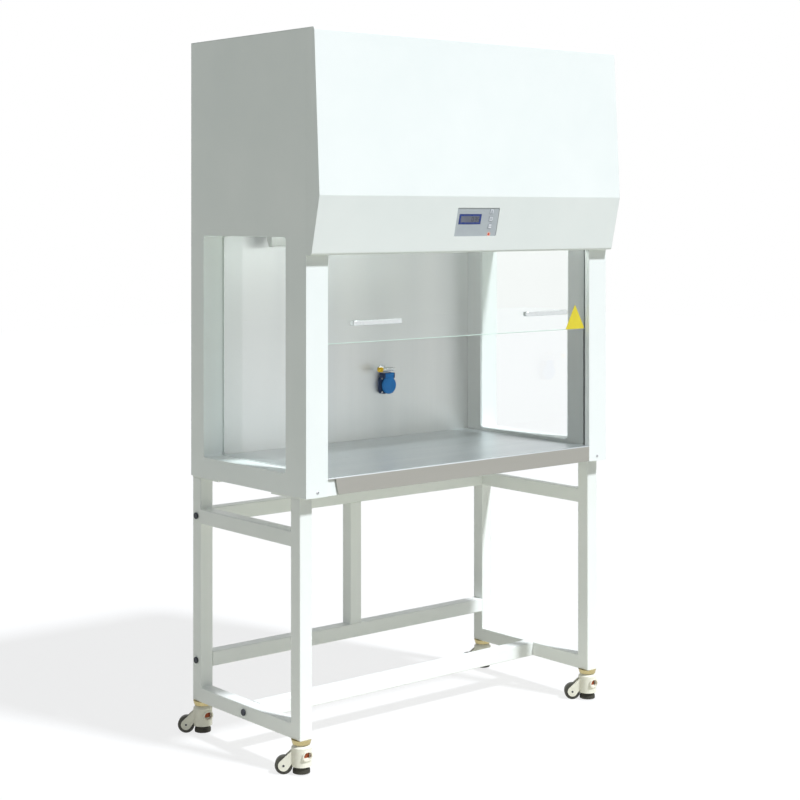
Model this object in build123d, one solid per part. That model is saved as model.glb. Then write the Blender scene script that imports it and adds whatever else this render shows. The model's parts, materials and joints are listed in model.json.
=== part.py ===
from build123d import *
import math
import os

# Vertical laminar flow hood on a welded stand with levelling casters.
# Millimetres. X runs along the front, Y to the back, Z up.
# The origin is on the floor, midway between the sides and midway front to back.

# ---- cabinet ----
cabinet_width = 1100
cabinet_depth = 530
cabinet_height = 1195
wall_thickness = 70
sheet = 1.5
flange_width = 20
seam = 0.3
worktop_height = 47
chamber_height = 616
post_depth = 17

# ---- side windows ----
window_width = 380
window_height = 607
window_setback = 88
window_sill = 9
window_corner = 8
pane_thickness = 5
pane_overlap = 8

# ---- front cover, as projections in front of the posts ----
cover_top_projection = 34
ridge_projection = 56
nose_projection = 22
nose_height = 618
slope_drop = 152
ridge_radius = 8
cover_flange = 15
tongue_depth = 16
tongue_lip = 17

# ---- sliding sash ----
sash_engagement = 12
sash_height = 613
sash_thickness = 5
sash_lift_at_rest = 340
guide_wall = 1.2
guide_reach = 16
sash_clearance = 0.3
sash_corner = 10
handle_length = 165
handle_height = 13
handle_bar = 8
handle_grip_gap = 10.2
handle_foot = 24
handle_inset = 86
handle_rise = 46
sticker_width = 78
sticker_height = 71
sticker_thickness = 0.4
sticker_margin = 1.5
sticker_corner = 2

# ---- worktop and floor pan ----
apron_height = 45
apron_notch = 25
apron_bevel = 9
fold_radius = 4.5

# ---- control panel ----
panel_width = 154
panel_height = 79
panel_rise = 82.5
panel_corner = 3
bezel_recess = 1.5
bezel_thickness = 3
display_width = 81
display_height = 28.7
display_x = -26.5
display_rise = 7.7
key_width = 14
key_height = 13
key_pitch = 20.5
key_x = 50
key_top_rise = 29.2
key_travel = 0.8
key_lip = 1
key_corner = 1.5
module_depth = 5
lamp_dot_diameter = 7
lamp_dot_rise = -34.3
controller_depth = 32
controller_margin = 8
boss_width = 6

# ---- socket and gas valve on the back panel ----
socket_x = 143
socket_level = 205.5
socket_size = 51
socket_corner = 8
socket_flange = 12
socket_well = 39
socket_well_depth = 15
contact_diameter = 5
contact_pitch = 19
contact_depth = 0.6
lid_diameter = 52
lid_thickness = 8
lid_bevel = 3
lid_tab_width = 33
lid_tab_rise = 38
lid_tab_thickness = 6
hinge_radius = 4
lid_pin_diameter = 3
ear_thickness = 3
ear_margin = 1.5
ear_root = 4
collar_wall = 3
collar_height = 4
valve_x = 128
valve_level = 256
valve_reach = 34
valve_body_diameter = 13
valve_left_reach = 24
valve_right_reach = 23
valve_rosette = 24
rosette_thickness = 5
neck_diameter = 11
nozzle_length = 14
nozzle_diameter = 8
barb_rise = 1.5
barb_count = 2
barb_run = 0.9
knob_diameter = 15
knob_length = 13
knob_flutes = 6
flute_diameter = 3
flute_length = 10

# ---- air handling unit ----
filter_side_gap = 22.5
filter_end_gap = 23.1
filter_height = 69
filter_frame = 15
pleat_count = 24
pleat_inset = 4
pleat_paper = 5
diffuser_flange = 12
slot_length = 78
slot_width = 16
slot_columns = 9
slot_rows = 10
plenum_height = 120
blower_diameter = 260
blower_height = 120
blower_spread = 30
blower_steps = 24
casing_wall = 3
outlet_diameter = 130
eye_diameter = 150
impeller_diameter = 200
impeller_height = 90
impeller_gap = 4.5
impeller_plate = 2
shroud_eye = 136
blade_count = 11
blade_chord = 48
blade_thickness = 2
blade_inset = 33
blade_angle = 35
hub_diameter = 36
hub_height = 36
hub_bore = 30
shaft_diameter = 12
shaft_clearance = 0.05
shaft_engagement = 26
motor_diameter = 110
motor_height = 95
motor_gap = 9.6
bracket_width = 30
bracket_thickness = 3
bracket_rise = 32
intake_width = 420
intake_depth = 260
intake_bars = 9
prefilter_thickness = 22
prefilter_margin = 12
lamp_end_gap = 30
lamp_width = 46
lamp_height = 24
lamp_corner = 12
sensor_width = 50
sensor_depth = 26
sensor_height = 34
sensor_x = -293
sensor_setback = 34
sensor_flat = 14
sensor_rear_height = 8.5
sensor_lip = 4
sensor_lip_height = 3

# ---- stand ----
tube_size = 40
tube_wall = 2
tube_corner = 3
leg_length = 616
pad_plate_thickness = 5
pad_plate_length = 125
side_inset = 4
front_leg_setback = 32
rear_leg_setback = 2
upper_rail_height = 580
rear_bar_height = 182
centre_bar_setback = 260
end_plate = 5
bolt_diameter = 10
bolt_clearance = 0.3
cap_diameter = 18
cap_height = 5
cap_gap = 0.1
bolt_tail = 3

# ---- levelling casters ----
caster_height = 89
plate_diameter = 53
plate_thickness = 11.7
plate_bevel = 3
stem_diameter = 12
stem_length = 28
housing_diameter = 52
housing_bottom = 21
housing_shoulder = 8
deck_level = 66
floor_level = 38
floor_thickness = 5.5
housing_wall = 4
spigot_diameter = 16
screw_clearance = 0.5
swivel_offset = 45
wheel_diameter = 46
wheel_width = 18
wheel_clearance = 1
wheel_hub_diameter = 18
axle_diameter = 8
running_clearance = 0.05
arm_thickness = 4
arm_hub_radius = 14
arm_root_radius = 9
arm_root_offset = 11.7
arm_root_drop = 17
window_oval_width = 25
window_oval_height = 19
window_oval_level = 50
window_oval_rim = 3
window_oval_relief = 2.5
window_oval_bearing = 130
dial_diameter = 40
dial_height = 13
dial_teeth = 16
dial_tooth_depth = 1.8
dial_hub_diameter = 24
screw_diameter = 12
foot_diameter = 45
foot_gap = 3
foot_rubber = 9
foot_flange = 6.5
foot_flange_inset = 1.5
screw_top_gap = 1.2
trail_angle = 140

# ---- derived places ----
half_width = cabinet_width / 2
front_y = -cabinet_depth / 2
back_y = cabinet_depth / 2
inner_x = half_width - wall_thickness
cabinet_bottom = caster_height + leg_length + pad_plate_thickness
cabinet_top = cabinet_bottom + cabinet_height
worktop_z = cabinet_bottom + worktop_height
ceiling_z = worktop_z + chamber_height
nose_z = cabinet_bottom + nose_height
ridge_z = nose_z + slope_drop
back_inner_y = back_y - sheet
liner_x = inner_x + sheet
sash_width = 2 * (inner_x + sash_engagement)
lamp_length = 2 * (inner_x - lamp_end_gap)
guide_depth = sash_thickness + 2 * (guide_wall + sash_clearance)
guide_y = front_y + post_depth
liner_y = guide_y + guide_depth + seam
sash_y = guide_y + guide_wall + sash_clearance
sash_z = worktop_z + sash_lift_at_rest
window_y = front_y + window_setback + window_width / 2
window_z = worktop_z + window_sill + window_height / 2
leg_x = half_width - side_inset - tube_size / 2
front_leg_y = front_y + front_leg_setback + tube_size / 2
rear_leg_y = back_y - rear_leg_setback - tube_size / 2
leg_top = caster_height + leg_length
lower_rail_z = caster_height + tube_size / 2
upper_rail_z = upper_rail_height + tube_size / 2
rear_bar_z = rear_bar_height + tube_size / 2
centre_bar_y = front_y + centre_bar_setback + tube_size / 2
bar_length = 2 * leg_x - tube_size - 2 * seam
filter_z = ceiling_z + sheet + seam
filter_y = (liner_y + back_inner_y) / 2
filter_width = 2 * (inner_x - filter_side_gap)
filter_depth = back_inner_y - liner_y - 2 * filter_end_gap
plenum_z = filter_z + filter_height + seam
blower_z = plenum_z + plenum_height + seam
impeller_z = blower_z + casing_wall + impeller_gap
caster_places = {
    "front_left": (-leg_x, front_leg_y),
    "front_right": (leg_x, front_leg_y),
    "rear_left": (-leg_x, rear_leg_y),
    "rear_right": (leg_x, rear_leg_y),
}

# The lower face of the front cover slopes back from the ridge to the nose.
slope_run = ridge_projection - nose_projection
slope_length = math.hypot(slope_run, slope_drop)
panel_y = front_y - ridge_projection + slope_run * (slope_drop - panel_rise) / slope_drop
panel_plane = Plane(
    origin=(0, panel_y, nose_z + panel_rise),
    x_dir=(1, 0, 0),
    z_dir=(0, -slope_drop / slope_length, -slope_run / slope_length),
)


def block(x0, x1, y0, y1, z0, z1):
    # A box between its low and high corners.
    return Pos((x0 + x1) / 2, (y0 + y1) / 2, (z0 + z1) / 2) * Box(x1 - x0, y1 - y0, z1 - z0)


def cylinder(diameter, z0, z1, x=0, y=0):
    return Pos(x, y, (z0 + z1) / 2) * Cylinder(diameter / 2, z1 - z0)


def along_x(x, y, z):
    # Turns a shape drawn along Z to lie along X, and moves it to its place.
    return Pos(x, y, z) * Rot(0, 90, 0)


def mirrored(shape):
    # The same piece on the other side of the cabinet's middle plane.
    return mirror(shape, about=Plane.YZ)


def profile_prism(points, length):
    # An outline given as (y, z) points, drawn out along X about the middle plane.
    outline = make_face(Polyline(*[(0, y, z) for y, z in points], close=True))
    return extrude(outline, amount=length / 2, dir=(1, 0, 0), both=True)


def facing_front(shape, x, z, y, amount):
    # Draws a flat shape from the plane y towards the front by amount.
    plane = Plane(origin=(x, y, z), x_dir=(1, 0, 0), z_dir=(0, -1, 0))
    return extrude(plane * shape, amount=amount)


def window_prism(extra, corner, x0, x1):
    # A round-cornered block through a side wall, as large as the window and extra all round.
    outline = Plane(origin=(x0, window_y, window_z), x_dir=(0, 1, 0), z_dir=(1, 0, 0))
    shape = RectangleRounded(window_width + 2 * extra, window_height + 2 * extra, corner)
    return extrude(outline * shape, amount=x1 - x0)


# ---- cabinet sheet metal ----
def outer_skin():
    # Left side: outer sheet, front post, bottom and rear flanges and the window's deep reveal.
    rear = back_inner_y - seam
    top = cabinet_top - sheet - seam
    wall_x = -half_width + sheet
    skin = block(-half_width, wall_x, front_y, rear, cabinet_bottom, top)
    skin += block(-half_width, -inner_x, front_y, front_y + sheet, cabinet_bottom, top)
    skin += block(-inner_x - sheet, -inner_x, front_y, guide_y - seam, cabinet_bottom, top)
    flange_x = -half_width + flange_width
    skin += block(-half_width, flange_x, front_y, rear, cabinet_bottom, cabinet_bottom + sheet)
    skin += block(-half_width, flange_x, rear - sheet, rear, cabinet_bottom, top)
    reveal_end = -liner_x - seam - pane_thickness - seam
    skin += window_prism(sheet, window_corner + sheet, -half_width, reveal_end)
    skin -= window_prism(0, window_corner, -half_width - 1, reveal_end + 1)
    return skin


def inner_liner():
    # Left side: the chamber's side sheet, with a window and folded front and bottom edges.
    rear = back_inner_y - seam
    top = cabinet_top - sheet - seam
    edge_x = -half_width + flange_width + seam
    liner = block(-liner_x, -inner_x, liner_y, rear, cabinet_bottom, top)
    liner += block(edge_x, -inner_x, liner_y, rear, cabinet_bottom, cabinet_bottom + sheet)
    liner += block(edge_x, -inner_x, liner_y, liner_y + sheet, cabinet_bottom, top)
    liner -= window_prism(0, window_corner, -liner_x - 1, -inner_x + 1)
    return liner


def side_pane():
    # Left window glass, held between the reveal's inner edge and the liner.
    pane_x = -liner_x - seam
    return window_prism(pane_overlap, window_corner + pane_overlap, pane_x - pane_thickness, pane_x)


def sash_guide():
    # Left channel behind the post, open towards the sash.
    top = cabinet_top - sheet - seam
    channel = block(-inner_x - guide_reach, -inner_x, guide_y, guide_y + guide_depth, worktop_z, top)
    slot_end = -sash_width / 2 - sash_clearance
    slot_y = sash_y - sash_clearance
    slot_depth = sash_thickness + 2 * sash_clearance
    slot = block(slot_end, -inner_x + 1, slot_y, slot_y + slot_depth, worktop_z - 1, cabinet_top)
    return channel - slot


def back_panel():
    return block(-half_width, half_width, back_inner_y, back_y, cabinet_bottom, cabinet_top)


def top_panel():
    # Flat lid with an intake grille of straight slots over the prefilter.
    front = front_y - seam
    rear = back_inner_y - seam
    lid = block(-half_width, half_width, front, rear, cabinet_top - sheet, cabinet_top)
    pitch = intake_depth / intake_bars
    slot = Box(intake_width / 2 - pitch / 2, pitch / 2, 4 * sheet)
    for spot in GridLocations(intake_width / 2, pitch, 2, intake_bars):
        lid -= Pos(0, 0, cabinet_top) * spot * slot
    return lid


def floor_pan():
    # Painted tray under the worktop, its front and rear walls carrying the worktop's edges.
    x1 = inner_x - seam
    y0 = front_y + fold_radius + seam
    y1 = back_inner_y - seam
    rim = worktop_z - sheet - seam
    pan = block(-x1, x1, y0, y1, cabinet_bottom, cabinet_bottom + sheet)
    for y in (y0, y1 - sheet):
        pan += block(-x1, x1, y, y + sheet, cabinet_bottom, rim)
    pan += block(-x1, x1, y0, y0 + flange_width, rim - sheet, rim)
    pan += block(-x1, x1, y1 - flange_width, y1, rim - sheet, rim)
    return pan


def worktop():
    # Stainless sheet with a rounded front fold and an apron that stops short at the left.
    x1 = inner_x - seam
    y1 = back_inner_y - seam
    low = worktop_z - apron_height
    side = block(-x1, x1, front_y, y1, low, worktop_z)
    front_edge = side.edges().filter_by(Axis.X).group_by(Axis.Z)[-1].group_by(Axis.Y)[0]
    side = fillet(front_edge, fold_radius)
    inside = block(-x1 - 1, x1 + 1, front_y + sheet, y1 + 1, low - 1, worktop_z - sheet)
    inner_edge = inside.edges().filter_by(Axis.X).group_by(Axis.Z)[-1].group_by(Axis.Y)[0]
    side -= fillet(inner_edge, fold_radius - sheet)
    notch_x = -x1 + apron_notch
    corner = [
        (-x1 - 1, low - 1),
        (notch_x + apron_bevel, low - 1),
        (notch_x, worktop_z - fold_radius),
        (-x1 - 1, worktop_z - fold_radius),
    ]
    notch = make_face(Polyline(*[(x, front_y - 1, z) for x, z in corner], close=True))
    side -= extrude(notch, amount=sheet + 2, dir=(0, 1, 0))
    return side


def front_cover():
    # Folded cover: two sloping faces, cheeks, top, bottom and a tongue that reaches to the sash.
    back = front_y - seam
    outline = Polyline(
        (0, back, nose_z),
        (0, front_y - nose_projection, nose_z),
        (0, front_y - ridge_projection, ridge_z),
        (0, front_y - cover_top_projection, cabinet_top),
        (0, back, cabinet_top),
        close=True,
    )
    face = make_face(outline)
    corners = face.vertices().filter_by(lambda v: v.Y < back - 1)
    face = fillet(corners, ridge_radius)
    cover = extrude(face, amount=half_width, dir=(1, 0, 0), both=True)
    hollow = offset(face, amount=-sheet, kind=Kind.INTERSECTION)
    cover -= extrude(hollow, amount=half_width - sheet, dir=(1, 0, 0), both=True)
    opening_x = half_width - cover_flange
    opening_low = nose_z + cover_flange
    opening_high = cabinet_top - cover_flange
    cover -= block(-opening_x, opening_x, back - 2 * sheet, back + 1, opening_low, opening_high)
    tongue_x = inner_x - 2 * seam
    tongue_end = front_y + tongue_depth
    cover += block(-tongue_x, tongue_x, back - sheet, tongue_end, nose_z, nose_z + sheet)
    cover += block(-tongue_x, tongue_x, tongue_end - sheet, tongue_end, nose_z, nose_z + tongue_lip)
    panel_outline = panel_plane * RectangleRounded(panel_width, panel_height, panel_corner)
    return cover - extrude(panel_outline, amount=4 * sheet, both=True)


# ---- sash ----
def sash_glass():
    outline = RectangleRounded(sash_width, sash_height, sash_corner)
    return facing_front(outline, 0, sash_z + sash_height / 2, sash_y, -sash_thickness)


def sash_handle():
    # Left bow handle: a round-ended bar on two feet that stand on the glass.
    x0 = -inner_x + handle_inset
    z = sash_z + handle_rise + handle_height / 2
    front = sash_y - seam - handle_grip_gap - handle_bar
    x1 = x0 + handle_length
    half = handle_height / 2
    bow = block(x0, x1, front, sash_y - seam, z - half, z + half)
    front_ends = bow.edges().filter_by(Axis.Z).group_by(Axis.Y)[0]
    bow = fillet(front_ends, handle_bar)
    grip_x = (x0 + handle_foot, x1 - handle_foot)
    grip = block(*grip_x, front + handle_bar, sash_y + 1, z - handle_height, z + handle_height)
    grip_corners = grip.edges().filter_by(Axis.Z).group_by(Axis.Y)[0]
    return bow - fillet(grip_corners, handle_bar / 2)


def corner_sticker():
    # A blank rounded triangle on the sash's lower right corner.
    x1 = inner_x - sticker_margin
    points = [
        (x1 - sticker_width, sash_y, sash_z + 1),
        (x1, sash_y, sash_z + 1),
        (x1 - sticker_width / 2, sash_y, sash_z + 1 + sticker_height),
    ]
    face = make_face(Polyline(*points, close=True))
    face = fillet(face.vertices(), sticker_corner)
    return extrude(face, amount=sticker_thickness, dir=(0, -1, 0))


# ---- control panel ----
def key_rises():
    return [key_top_rise - key_pitch * index for index in range(3)]


def on_panel(shape, x, rise, depth, height):
    # Draws a flat shape back from a plane that lies depth below the cover's face.
    return panel_plane * (Pos(x, rise, -depth - height) * extrude(shape, amount=height))


def control_bezel():
    gap = 2 * seam
    outline = RectangleRounded(panel_width - gap, panel_height - gap, panel_corner)
    plate = on_panel(outline, 0, 0, bezel_recess, bezel_thickness)
    holes = [(Rectangle(display_width, display_height), display_x, display_rise)]
    holes += [(Rectangle(key_width, key_height), key_x, rise) for rise in key_rises()]
    holes += [(Circle(lamp_dot_diameter / 2), key_x, lamp_dot_rise)]
    for shape, x, rise in holes:
        plate -= on_panel(shape, x, rise, bezel_recess - 1, bezel_thickness + 2)
    return plate


def display():
    depth = bezel_recess - seam
    size = Rectangle(display_width - 2 * seam, display_height - 2 * seam)
    return on_panel(size, display_x, display_rise, depth, module_depth)


def panel_key(index):
    # Key cap with a lip behind the bezel.
    rise = key_rises()[index]
    cap_size = RectangleRounded(key_width - 2 * seam, key_height - 2 * seam, key_corner)
    cap_height = bezel_thickness + key_travel + seam
    cap = on_panel(cap_size, key_x, rise, bezel_recess - key_travel, cap_height)
    lip_size = Rectangle(key_width + 2 * key_lip, key_height + 2 * key_lip)
    return cap + on_panel(lip_size, key_x, rise, bezel_recess + bezel_thickness + seam, key_lip)


def status_lamp():
    size = Circle(lamp_dot_diameter / 2 - seam)
    return on_panel(size, key_x, lamp_dot_rise, bezel_recess - seam, module_depth)


def controller_box():
    # Electronics housing behind the panel, on four bosses that stand on the cover's inner face.
    front = bezel_recess + bezel_thickness + key_lip + key_travel + 2 * seam
    width = panel_width + 2 * controller_margin
    height = panel_height + 2 * controller_margin
    box = on_panel(Rectangle(width, height), 0, 0, front, controller_depth)
    boss_x = (width - boss_width) / 2
    boss_y = (height - boss_width) / 2
    for x in (-boss_x, boss_x):
        for y in (-boss_y, boss_y):
            box += on_panel(Rectangle(boss_width, boss_width), x, y, sheet + seam, front - sheet)
    return box


# ---- socket and valve ----
socket_z = cabinet_bottom + socket_level
hinge_z = socket_z + lid_tab_rise - hinge_radius
socket_front = back_inner_y - seam - socket_flange
lid_back = socket_front - collar_height - seam
hinge_y = lid_back - hinge_radius


def socket_base():
    # Square flange with a round well, contact holes and two ears that hold the lid's pin.
    wall = back_inner_y - seam
    flange = RectangleRounded(socket_size, socket_size, socket_corner)
    base = facing_front(flange, socket_x, socket_z, wall, socket_flange)
    collar = Circle(socket_well / 2 + collar_wall)
    base += facing_front(collar, socket_x, socket_z, socket_front, collar_height)
    well_floor = socket_front - collar_height + socket_well_depth
    base -= facing_front(Circle(socket_well / 2), socket_x, socket_z, well_floor, socket_well_depth + 1)
    contact = Circle(contact_diameter / 2)
    ear_low = socket_z + socket_size / 2 - ear_root
    ear_reach = lid_pin_diameter / 2 + ear_margin
    for side in (-1, 1):
        contact_x = socket_x + side * contact_pitch / 2
        base -= facing_front(contact, contact_x, socket_z, well_floor + contact_depth, contact_depth + 1)
        inner = socket_x + side * (lid_tab_width / 2 + seam)
        outer = inner + side * ear_thickness
        x0, x1 = min(inner, outer), max(inner, outer)
        base += block(x0, x1, hinge_y - ear_reach, wall, ear_low, hinge_z + ear_reach)
    pin_length = lid_tab_width + 2 * seam + ear_thickness
    return base + along_x(socket_x, hinge_y, hinge_z) * Cylinder(lid_pin_diameter / 2, pin_length)


def socket_lid():
    # Round hinged lid, its flat tab rolled round the hinge pin.
    lid = facing_front(Circle(lid_diameter / 2), socket_x, socket_z, lid_back, lid_thickness)
    lid = chamfer(lid.edges().group_by(Axis.Y)[0], lid_bevel)
    tab_half = lid_tab_width / 2
    tab_front = lid_back - lid_tab_thickness
    lid += block(socket_x - tab_half, socket_x + tab_half, tab_front, lid_back, socket_z, hinge_z)
    lid += along_x(socket_x, hinge_y, hinge_z) * Cylinder(hinge_radius, lid_tab_width)
    bore = lid_pin_diameter / 2 + running_clearance
    return lid - along_x(socket_x, hinge_y, hinge_z) * Cylinder(bore, lid_tab_width + 2)


def valve_body():
    # Wall rosette, neck and a cross body that ends in a ribbed hose nozzle.
    z = cabinet_bottom + valve_level
    wall = back_inner_y - seam
    body = facing_front(Circle(valve_rosette / 2), valve_x, z, wall, rosette_thickness)
    body += facing_front(Circle(neck_diameter / 2), valve_x, z, wall, valve_reach)
    y = wall - valve_reach
    left = valve_x - valve_left_reach
    right = valve_x + valve_right_reach
    nozzle = right - nozzle_length
    radius = valve_body_diameter / 2
    turned = [(left, 0), (left, radius), (nozzle, radius)]
    for step in range(barb_count):
        root = nozzle + step * nozzle_length / barb_count
        turned.append((root, nozzle_diameter / 2))
        turned.append((root + barb_run, nozzle_diameter / 2 + barb_rise))
    turned.append((right, nozzle_diameter / 2))
    turned.append((right, 0))
    half = make_face(Polyline(*[(x, y, z + r) for x, r in turned], close=True))
    return body + revolve(half, axis=Axis((0, y, z), (1, 0, 0)))


def valve_knob():
    # Ribbed handwheel on the body's left end.
    z = cabinet_bottom + valve_level
    y = back_inner_y - seam - valve_reach
    left = valve_x - valve_left_reach - seam - knob_length
    plane = Plane(origin=(left, y, z), x_dir=(0, 1, 0), z_dir=(1, 0, 0))
    knob = extrude(plane * Circle(knob_diameter / 2), amount=knob_length)
    for spot in PolarLocations(knob_diameter / 2, knob_flutes):
        knob -= extrude(plane * spot * Circle(flute_diameter / 2), amount=flute_length)
    return knob


# ---- air handling unit ----
def ceiling_diffuser():
    # Slotted sheet under the filter, with an upturned rim.
    x1 = inner_x - seam
    y0 = liner_y + seam
    y1 = back_inner_y - seam
    sheet_top = ceiling_z + sheet
    panel = block(-x1, x1, y0, y1, ceiling_z, sheet_top)
    for y in (y0, y1 - sheet):
        panel += block(-x1, x1, y, y + sheet, ceiling_z, ceiling_z + diffuser_flange)
    pitch_x = filter_width / slot_columns
    pitch_y = filter_depth / slot_rows
    places = GridLocations(pitch_x, pitch_y, slot_columns, slot_rows)
    slots = Sketch() + [spot * Rectangle(slot_length, slot_width) for spot in places.locations]
    cut = extrude(Pos(0, filter_y, ceiling_z - 1) * slots, amount=sheet + 2)
    return panel - cut


def hepa_filter():
    # Framed filter whose paper is folded in deep pleats.
    middle = Pos(0, filter_y, filter_z + filter_height / 2)
    inner = filter_width - 2 * filter_frame
    inner_depth = filter_depth - 2 * filter_frame
    frame = middle * Box(filter_width, filter_depth, filter_height)
    frame -= middle * Box(inner, inner_depth, filter_height + 2)
    pitch = inner / pleat_count
    low = filter_z + pleat_inset
    high = filter_z + filter_height - pleat_inset - pleat_paper
    lower = []
    for index in range(pleat_count):
        lower.append((-inner / 2 + index * pitch, low))
        lower.append((-inner / 2 + (index + 0.5) * pitch, high))
    lower.append((inner / 2, low))
    upper = [(x, z + pleat_paper) for x, z in reversed(lower)]
    y0 = filter_y - inner_depth / 2
    pleats = make_face(Polyline(*[(x, y0, z) for x, z in lower + upper], close=True))
    paper_pack = extrude(pleats, amount=inner_depth, dir=(0, 1, 0))
    return frame + paper_pack


def plenum_box():
    # Pressure box on the filter, open below, with the blower's round inlet in its roof.
    top = plenum_z + plenum_height
    middle = Pos(0, filter_y, (plenum_z + top) / 2)
    box = middle * Box(filter_width, filter_depth, plenum_height)
    space = Box(filter_width - 2 * sheet, filter_depth - 2 * sheet, plenum_height)
    box -= Pos(0, 0, -sheet) * middle * space
    return box - cylinder(outlet_diameter, top - 2 * sheet, top + 1, 0, filter_y)


def blower_housing():
    # Spiral fan casing with an intake eye on top and an outlet down into the plenum.
    z0 = blower_z
    z1 = blower_z + blower_height
    points = []
    for index in range(blower_steps + 1):
        angle = 2 * math.pi * index / blower_steps
        radius = blower_diameter / 2 + blower_spread * index / blower_steps
        points.append((radius * math.cos(angle), filter_y + radius * math.sin(angle)))
    outer = make_face(Polyline(*[(x, y, z0) for x, y in points], close=True))
    casing = extrude(outer, amount=blower_height, dir=(0, 0, 1))
    hollow = offset(outer, amount=-casing_wall, kind=Kind.INTERSECTION)
    hollow_height = blower_height - 2 * casing_wall
    casing -= Pos(0, 0, casing_wall) * extrude(hollow, amount=hollow_height, dir=(0, 0, 1))
    casing -= cylinder(eye_diameter, z1 - casing_wall - 1, z1 + 1, 0, filter_y)
    casing -= cylinder(outlet_diameter, z0 - 1, z0 + casing_wall + 1, 0, filter_y)
    return casing


def blower_wheel():
    # Backward curved blades between a hub plate and a shroud ring.
    z0 = impeller_z
    z1 = z0 + impeller_height
    wheel = cylinder(impeller_diameter, z0, z0 + impeller_plate, 0, filter_y)
    ring = cylinder(impeller_diameter, z1 - impeller_plate, z1, 0, filter_y)
    wheel += ring - cylinder(shroud_eye, z1 - impeller_plate - 1, z1 + 1, 0, filter_y)
    wheel += cylinder(hub_diameter, z0, z0 + hub_height, 0, filter_y)
    wheel -= cylinder(shaft_diameter + 2 * shaft_clearance, z0 - 1, z0 + hub_bore, 0, filter_y)
    blade_radius = impeller_diameter / 2 - blade_inset
    blade = Rot(0, 0, blade_angle) * Box(blade_chord, blade_thickness, impeller_height)
    for spot in PolarLocations(blade_radius, blade_count):
        wheel += Pos(0, filter_y, z0 + impeller_height / 2) * spot * blade
    limit = cylinder(impeller_diameter, z0, z1, 0, filter_y)
    return wheel & limit


def blower_motor():
    # Motor can in the plenum below the fan, on a cross bar, its shaft up into the hub.
    top = blower_z - motor_gap
    low = top - motor_height
    motor = cylinder(motor_diameter, low, top, 0, filter_y)
    motor += cylinder(shaft_diameter, top - 1, impeller_z + shaft_engagement, 0, filter_y)
    reach = filter_width / 2 - sheet - seam
    half = bracket_width / 2
    z = low + bracket_rise
    return motor + block(-reach, reach, filter_y - half, filter_y + half, z, z + bracket_thickness)


def prefilter():
    # Flat pad under the intake grille, in a light tray.
    top = cabinet_top - sheet - seam
    x1 = intake_width / 2 + prefilter_margin
    y1 = intake_depth / 2 + prefilter_margin
    return block(-x1, x1, -y1, y1, top - prefilter_thickness, top)


def work_lamp():
    # Lamp batten across the front of the ceiling, behind the nose.
    x1 = lamp_length / 2
    y0 = liner_y + 2 * seam
    top = ceiling_z - seam
    batten = block(-x1, x1, y0, y0 + lamp_width, top - lamp_height, top)
    low_edges = batten.edges().filter_by(Axis.X).group_by(Axis.Z)[0]
    return fillet(low_edges, lamp_corner)


def air_sensor():
    # Small sensor housing under the ceiling, tapered at its rear, with a lip along its foot.
    y1 = back_inner_y - sensor_setback
    y0 = y1 - sensor_depth
    top = ceiling_z - seam
    low = top - sensor_height
    side = [
        (y0 - sensor_lip, low),
        (y0 + sensor_flat, low),
        (y1, top - sensor_rear_height),
        (y1, top),
        (y0, top),
        (y0, low + sensor_lip_height),
        (y0 - sensor_lip, low + sensor_lip_height),
    ]
    return Pos(sensor_x, 0, 0) * profile_prism(side, sensor_width)


# ---- stand ----
def tube(length):
    # Square tube's outside along +Z from its end.
    return extrude(RectangleRounded(tube_size, tube_size, tube_corner), amount=length)


def tube_space(length):
    # The space inside a tube, along +Z from its end.
    return extrude(Rectangle(tube_size - 2 * tube_wall, tube_size - 2 * tube_wall), amount=length)


def bolt_places():
    # Height and depth of each bolt through a side frame, with the bar that it holds.
    return [(rear_leg_y, upper_rail_z), (rear_leg_y, rear_bar_z), (centre_bar_y, lower_rail_z)]


def frame_outline(inside):
    # Two legs and two rails seen from the side, or the connected space inside them.
    wall = tube_wall if inside else 0
    half = tube_size / 2 - wall
    end = end_plate if inside else 0
    plane = Plane(origin=(-leg_x - half, 0, 0), x_dir=(0, 1, 0), z_dir=(1, 0, 0))
    rail_middle = (front_leg_y + rear_leg_y) / 2
    outline = Sketch()
    for y in (front_leg_y, rear_leg_y):
        outline += Pos(y, caster_height + leg_length / 2) * Rectangle(2 * half, leg_length - 2 * end)
    for z in (lower_rail_z, upper_rail_z):
        outline += Pos(rail_middle, z) * Rectangle(rear_leg_y - front_leg_y, 2 * half)
    return extrude(plane * outline, amount=2 * half)


def side_frame():
    # Left side frame: two legs, two rails, a plate on each leg, all one hollow weldment.
    frame = frame_outline(inside=False)
    side_edges = frame.edges().group_by(Axis.X)
    frame = fillet(side_edges[0] + side_edges[-1], tube_corner)
    frame -= frame_outline(inside=True)
    bore = stem_diameter + 2 * bolt_clearance
    for y in (front_leg_y, rear_leg_y):
        frame -= cylinder(bore, caster_height - 1, caster_height + end_plate + 1, -leg_x, y)
    half = tube_size / 2
    pad_top = leg_top + pad_plate_thickness
    for y0 in (front_leg_y - half, rear_leg_y + half - pad_plate_length):
        frame += block(-leg_x - half, -leg_x + half, y0, y0 + pad_plate_length, leg_top, pad_top)
    for y, z in bolt_places():
        hole = Cylinder(bolt_diameter / 2 + bolt_clearance, 2 * tube_size)
        frame -= along_x(-leg_x, y, z) * hole
    return frame


def bar_outside(y, z):
    # Outside of a square bar that runs between the side frames.
    return along_x(-bar_length / 2, y, z) * tube(bar_length)


def bar_space(y, z):
    # The space inside such a bar, with a plate left at each end and a bolt hole through both.
    space = along_x(-bar_length / 2 + end_plate, y, z) * tube_space(bar_length - 2 * end_plate)
    return space + along_x(0, y, z) * Cylinder(bolt_diameter / 2 + bolt_clearance, bar_length + 2)


def centre_bar():
    return bar_outside(centre_bar_y, lower_rail_z) - bar_space(centre_bar_y, lower_rail_z)


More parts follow.
